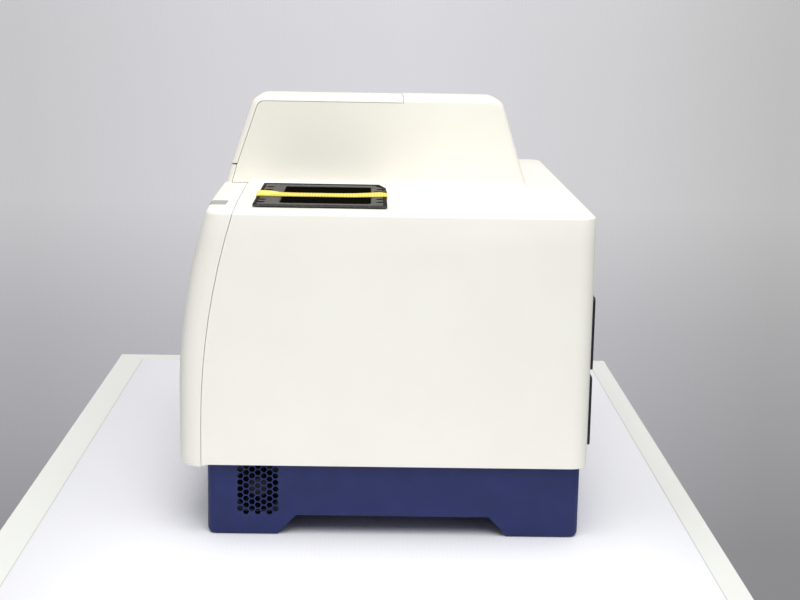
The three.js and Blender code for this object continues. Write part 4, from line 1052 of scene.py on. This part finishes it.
def thicken(bm, faces, move):
    """Flat faces drawn out by a vector to a closed slab."""
    made = bmesh.ops.extrude_face_region(bm, geom=faces)["geom"]
    upper = [item for item in made if isinstance(item, bmesh.types.BMVert)]
    bmesh.ops.translate(bm, vec=move, verts=upper)


# A thin speckled layer along the plate's edges, widest along the far edge.
bm = bmesh.new()
edges = add_outline(bm, RIM, HOLDER_TOP) + add_outline(bm, RIM_INSIDE, HOLDER_TOP)
faces = bmesh.ops.bridge_loops(bm, edges=edges)["faces"]
thicken(bm, faces, (0, 0, 0.06))
piece("holder_dark_rim", bm, "holder", dark_speckled_rim)

# %% Felt lining and painted shade of the peg slots
PEG_SLOTS = [
    *[(x, -103.4) for x in (75, 96)],
    *[(x, -105.3) for x in (161, 177)],
    *[(x, -7.8) for x in (64, 84)],
    *[(x, -8.3) for x in (151, 170)],
]
bm = bmesh.new()
add_block(bm, (68.6, 181.9), (-90.1, -15.8), (266.62, 267.0), 0.1)
piece("holder_felt", bm, "holder", felt)

# Each peg slot is a thin black disc on the plate: painted shade where the slot's hollow lies.
bm = bmesh.new()
for x, y in PEG_SLOTS:
    add_disc(bm, (x, y, HOLDER_TOP), 3.3, 0.08, 20)
piece("holder_slot_painted_shade", bm, "holder", felt)

# %% [markdown]
# ## Folds of the band
# The elastic band folds over at the front edge, where two layers lie on each other, and one of its
# corners is turned over at the rear edge, so that its dark back shows. A cloth simulation could fold
# it, but two flat layers lie where the real ones do, and are the same in every run.

# %% Folds of the band
BAND_TOP = 268.22
FRONT_FOLD = [(111, -111.6), (143, -111.6), (142, -100), (131, -91.5), (120, -94), (113, -101)]
REAR_FOLD = [(103.4, -2.2), (113.5, -2.2), (108.5, -7), (106, -13)]
# The back of the elastic shows its rubber between the threads: olive and dull.
olive_back = finish("woven_elastic_back", Base_Color=linear("#4d4620"), Roughness=0.9)
# The fold's outer side is stretched, so the yellow is paler.
fold_yellow = finish("woven_elastic_fold", Base_Color=linear("#fbec70"), Roughness=0.7)


def layer(name, outline, thick, lean, material):
    """A second layer of cloth on the band: a flat outline whose top is shifted by lean."""
    bm = bmesh.new()
    edges = add_outline(bm, outline, BAND_TOP)
    face = bmesh.ops.contextual_create(bm, geom=edges)["faces"]
    thicken(bm, face, (lean, 0, thick))
    piece(name, bm, "holder", material)


layer("band_fold_front", FRONT_FOLD, 0.58, 0.4, fold_yellow)
layer("band_fold_rear", REAR_FOLD, 0.78, 0.0, olive_back)

# %% [markdown]
# ## Table and wall
# The instrument stands on a pale table before a pale wall. Both are covered with fluted plastic
# sheet, whose ribs show as faint lines, and a cream tape runs along the table's edges. The wall gets
# darker towards the floor, because the lamps stand high, and both sheets get darker towards their
# sides. This shade is painted into their colour: colour ramps over the height and across say exactly
# how much, which is easier to match to the photograph than a lamp far away.

# %% Fluted sheet
RIB_SHADE = 0.98


def ramp_along(tree, parts, axis, stops):
    """A colour ramp over one axis, with stops of (metres, hex colour)."""
    start, end = stops[0][0], stops[-1][0]
    inputs = {"Value": (parts, axis), "From Min": start, "From Max": end}
    along = add_node(tree, "ShaderNodeMapRange", inputs)
    ramp = add_node(tree, "ShaderNodeValToRGB", {"Fac": (along, "Result")})
    while len(ramp.color_ramp.elements) < len(stops):
        ramp.color_ramp.elements.new(0.5)
    for element, (metres, colour) in zip(ramp.color_ramp.elements, stops):
        element.position = (metres - start) / (end - start)
        element.color = linear(colour)
    return ramp


def fluted(name, rib_mm, axis, stops, across):
    """Sheet with fine ribs across Y, with shade painted into its colour along an axis and across Y."""
    # Polypropylene: a waxy half gloss, and every rib a thin darker line.
    material = finish(name, Roughness=0.55, IOR=1.49)
    tree = material.node_tree
    place = add_node(tree, "ShaderNodeTexCoord")
    parts = add_node(tree, "ShaderNodeSeparateXYZ", {"Vector": (place, "Object")})
    # Both ramps paint shade into the colour: one along the axis, and one darker towards the sides across
    # Y.
    length_ramp = ramp_along(tree, parts, axis, stops)
    side_shade_ramp = ramp_along(tree, parts, "Y", across)
    inputs = {0: (length_ramp, "Color"), 1: (side_shade_ramp, "Color")}
    both = add_node(tree, "ShaderNodeVectorMath", inputs, operation="MULTIPLY")
    ribs = bands(tree, place, rib_mm, "Y")
    inputs = {"Value": (ribs, "Fac"), "To Min": RIB_SHADE, "To Max": 1.0}
    shade_by = add_node(tree, "ShaderNodeMapRange", inputs)
    inputs = {"Value": (shade_by, "Result"), "Color": (both, "Vector")}
    colour = add_node(tree, "ShaderNodeHueSaturation", inputs)
    feed(material, colour, "Color", "Base Color")
    return material


# Painted shade: darker towards the floor and towards both sides.
wall_sheet = fluted(
    "fluted_polypropylene_grey",
    6.0,
    "Z",
    [(-0.62, "#c2c1c6"), (-0.4, "#d5d4d9"), (-0.19, "#e4e3e7"), (0.05, "#fbfafc"), (0.35, "#f6f5f7")],
    [(-0.65, "#eeeeec"), (-0.3, "#fafafa"), (0.05, "#ffffff"), (0.45, "#f4f4f2"), (0.75, "#e3e3de")],
)
# Painted shade: darker towards both sides.
table_sheet = fluted(
    "fluted_polypropylene_white",
    3.5,
    "X",
    [(-0.43, "#fafafd"), (0.05, "#fcfcff"), (0.3, "#fcfcff")],
    [(-0.29, "#eeeeee"), (-0.23, "#f8f8f8"), (-0.19, "#ffffff"), (0.2, "#ffffff"), (0.26, "#f4f4f4")],
)
# Vinyl tape: cream, smooth and half glossy, with a thin grey line along its edge.
cream_tape = finish("vinyl_tape_cream", Base_Color=linear("#edeee7"), Roughness=0.5, IOR=1.5)
seam_grey = finish("tape_edge_grey", Base_Color=linear("#cfcfc9"), Roughness=0.8)
print("sheets:", wall_sheet.name, table_sheet.name)

# %% Table and wall blocks
TABLE_X = (-0.424, 1.0)
TABLE_Y = (-0.3135, 0.2715)
TABLE_THICK = 0.03
TAPE_LEFT = -0.286
TAPE_RIGHT = 0.252
TAPE_FAR = -0.402
TAPE_UP = 0.0003
SEAM_WIDE = 0.0008
WALL_X = (-1.55, -1.5)
WALL_HALF_WIDE = 12
WALL_HALF_HIGH = 6


def stage_block(name, x, y, z, material):
    """A plain block of the surroundings, in metres."""
    bm = bmesh.new()
    add_block(bm, x, y, z)
    mesh_object(name, bm, material)
    print(name, "stands in the scene")


stage_block("table_top", TABLE_X, TABLE_Y, (-TABLE_THICK, 0), table_sheet)
stage_block("tape_left", TABLE_X, (TABLE_Y[0], TAPE_LEFT), (0, TAPE_UP), cream_tape)
stage_block("tape_right", TABLE_X, (TAPE_RIGHT, TABLE_Y[1]), (0, TAPE_UP), cream_tape)
stage_block("tape_far", (TABLE_X[0], TAPE_FAR), TABLE_Y, (0, TAPE_UP * 2), cream_tape)
stage_block("tape_edge_left", TABLE_X, (TAPE_LEFT, TAPE_LEFT + SEAM_WIDE), (0, TAPE_UP / 2), seam_grey)
stage_block("tape_edge_right", TABLE_X, (TAPE_RIGHT - SEAM_WIDE, TAPE_RIGHT), (0, TAPE_UP / 2), seam_grey)
wall_y, wall_z = (-WALL_HALF_WIDE, WALL_HALF_WIDE), (-WALL_HALF_HIGH, WALL_HALF_HIGH)
stage_block("wall", WALL_X, wall_y, wall_z, wall_sheet)

# %% [markdown]
# ## Light
# One broad lamp hangs over the table and one stands beside the camera, as a flash with a soft box
# would. A small one reaches the hood's side, which lies deeper than the body's. The pale
# surroundings fill the shadows, so the world gives an even light of its own.

# %% Light
world = bpy.data.worlds.new("studio")
bpy.context.scene.world = world
world.use_nodes = True
sky = world.node_tree.nodes["Background"]
sky.inputs["Color"].default_value = linear("#eff0f5")
sky.inputs["Strength"].default_value = 0.52


def lamp(name, place, aim, width, height, watts):
    """A soft rectangular lamp at a place, turned to a point."""
    data = bpy.data.lights.new(name, "AREA")
    data.shape = "RECTANGLE"
    data.size = width
    data.size_y = height
    data.energy = watts
    obj = bpy.data.objects.new(name, data)
    bpy.context.scene.collection.objects.link(obj)
    obj.location = place
    obj.rotation_euler = (Vector(aim) - Vector(place)).to_track_quat("-Z", "Y").to_euler()
    print(name, "gives", watts, "watts")


lamp("overhead", (0.5, 0.12, 1.9), (0.05, 0, 0.1), 2.0, 2.0, 24.6)
lamp("camera_side", (2.1, 0.2, 2.1), (0.1, 0, 0.2), 1.3, 1.1, 18.8)
lamp("hood_fill", (0.42, -0.06, 0.85), (0.0, -0.02, 0.29), 0.25, 0.2, 0.4)
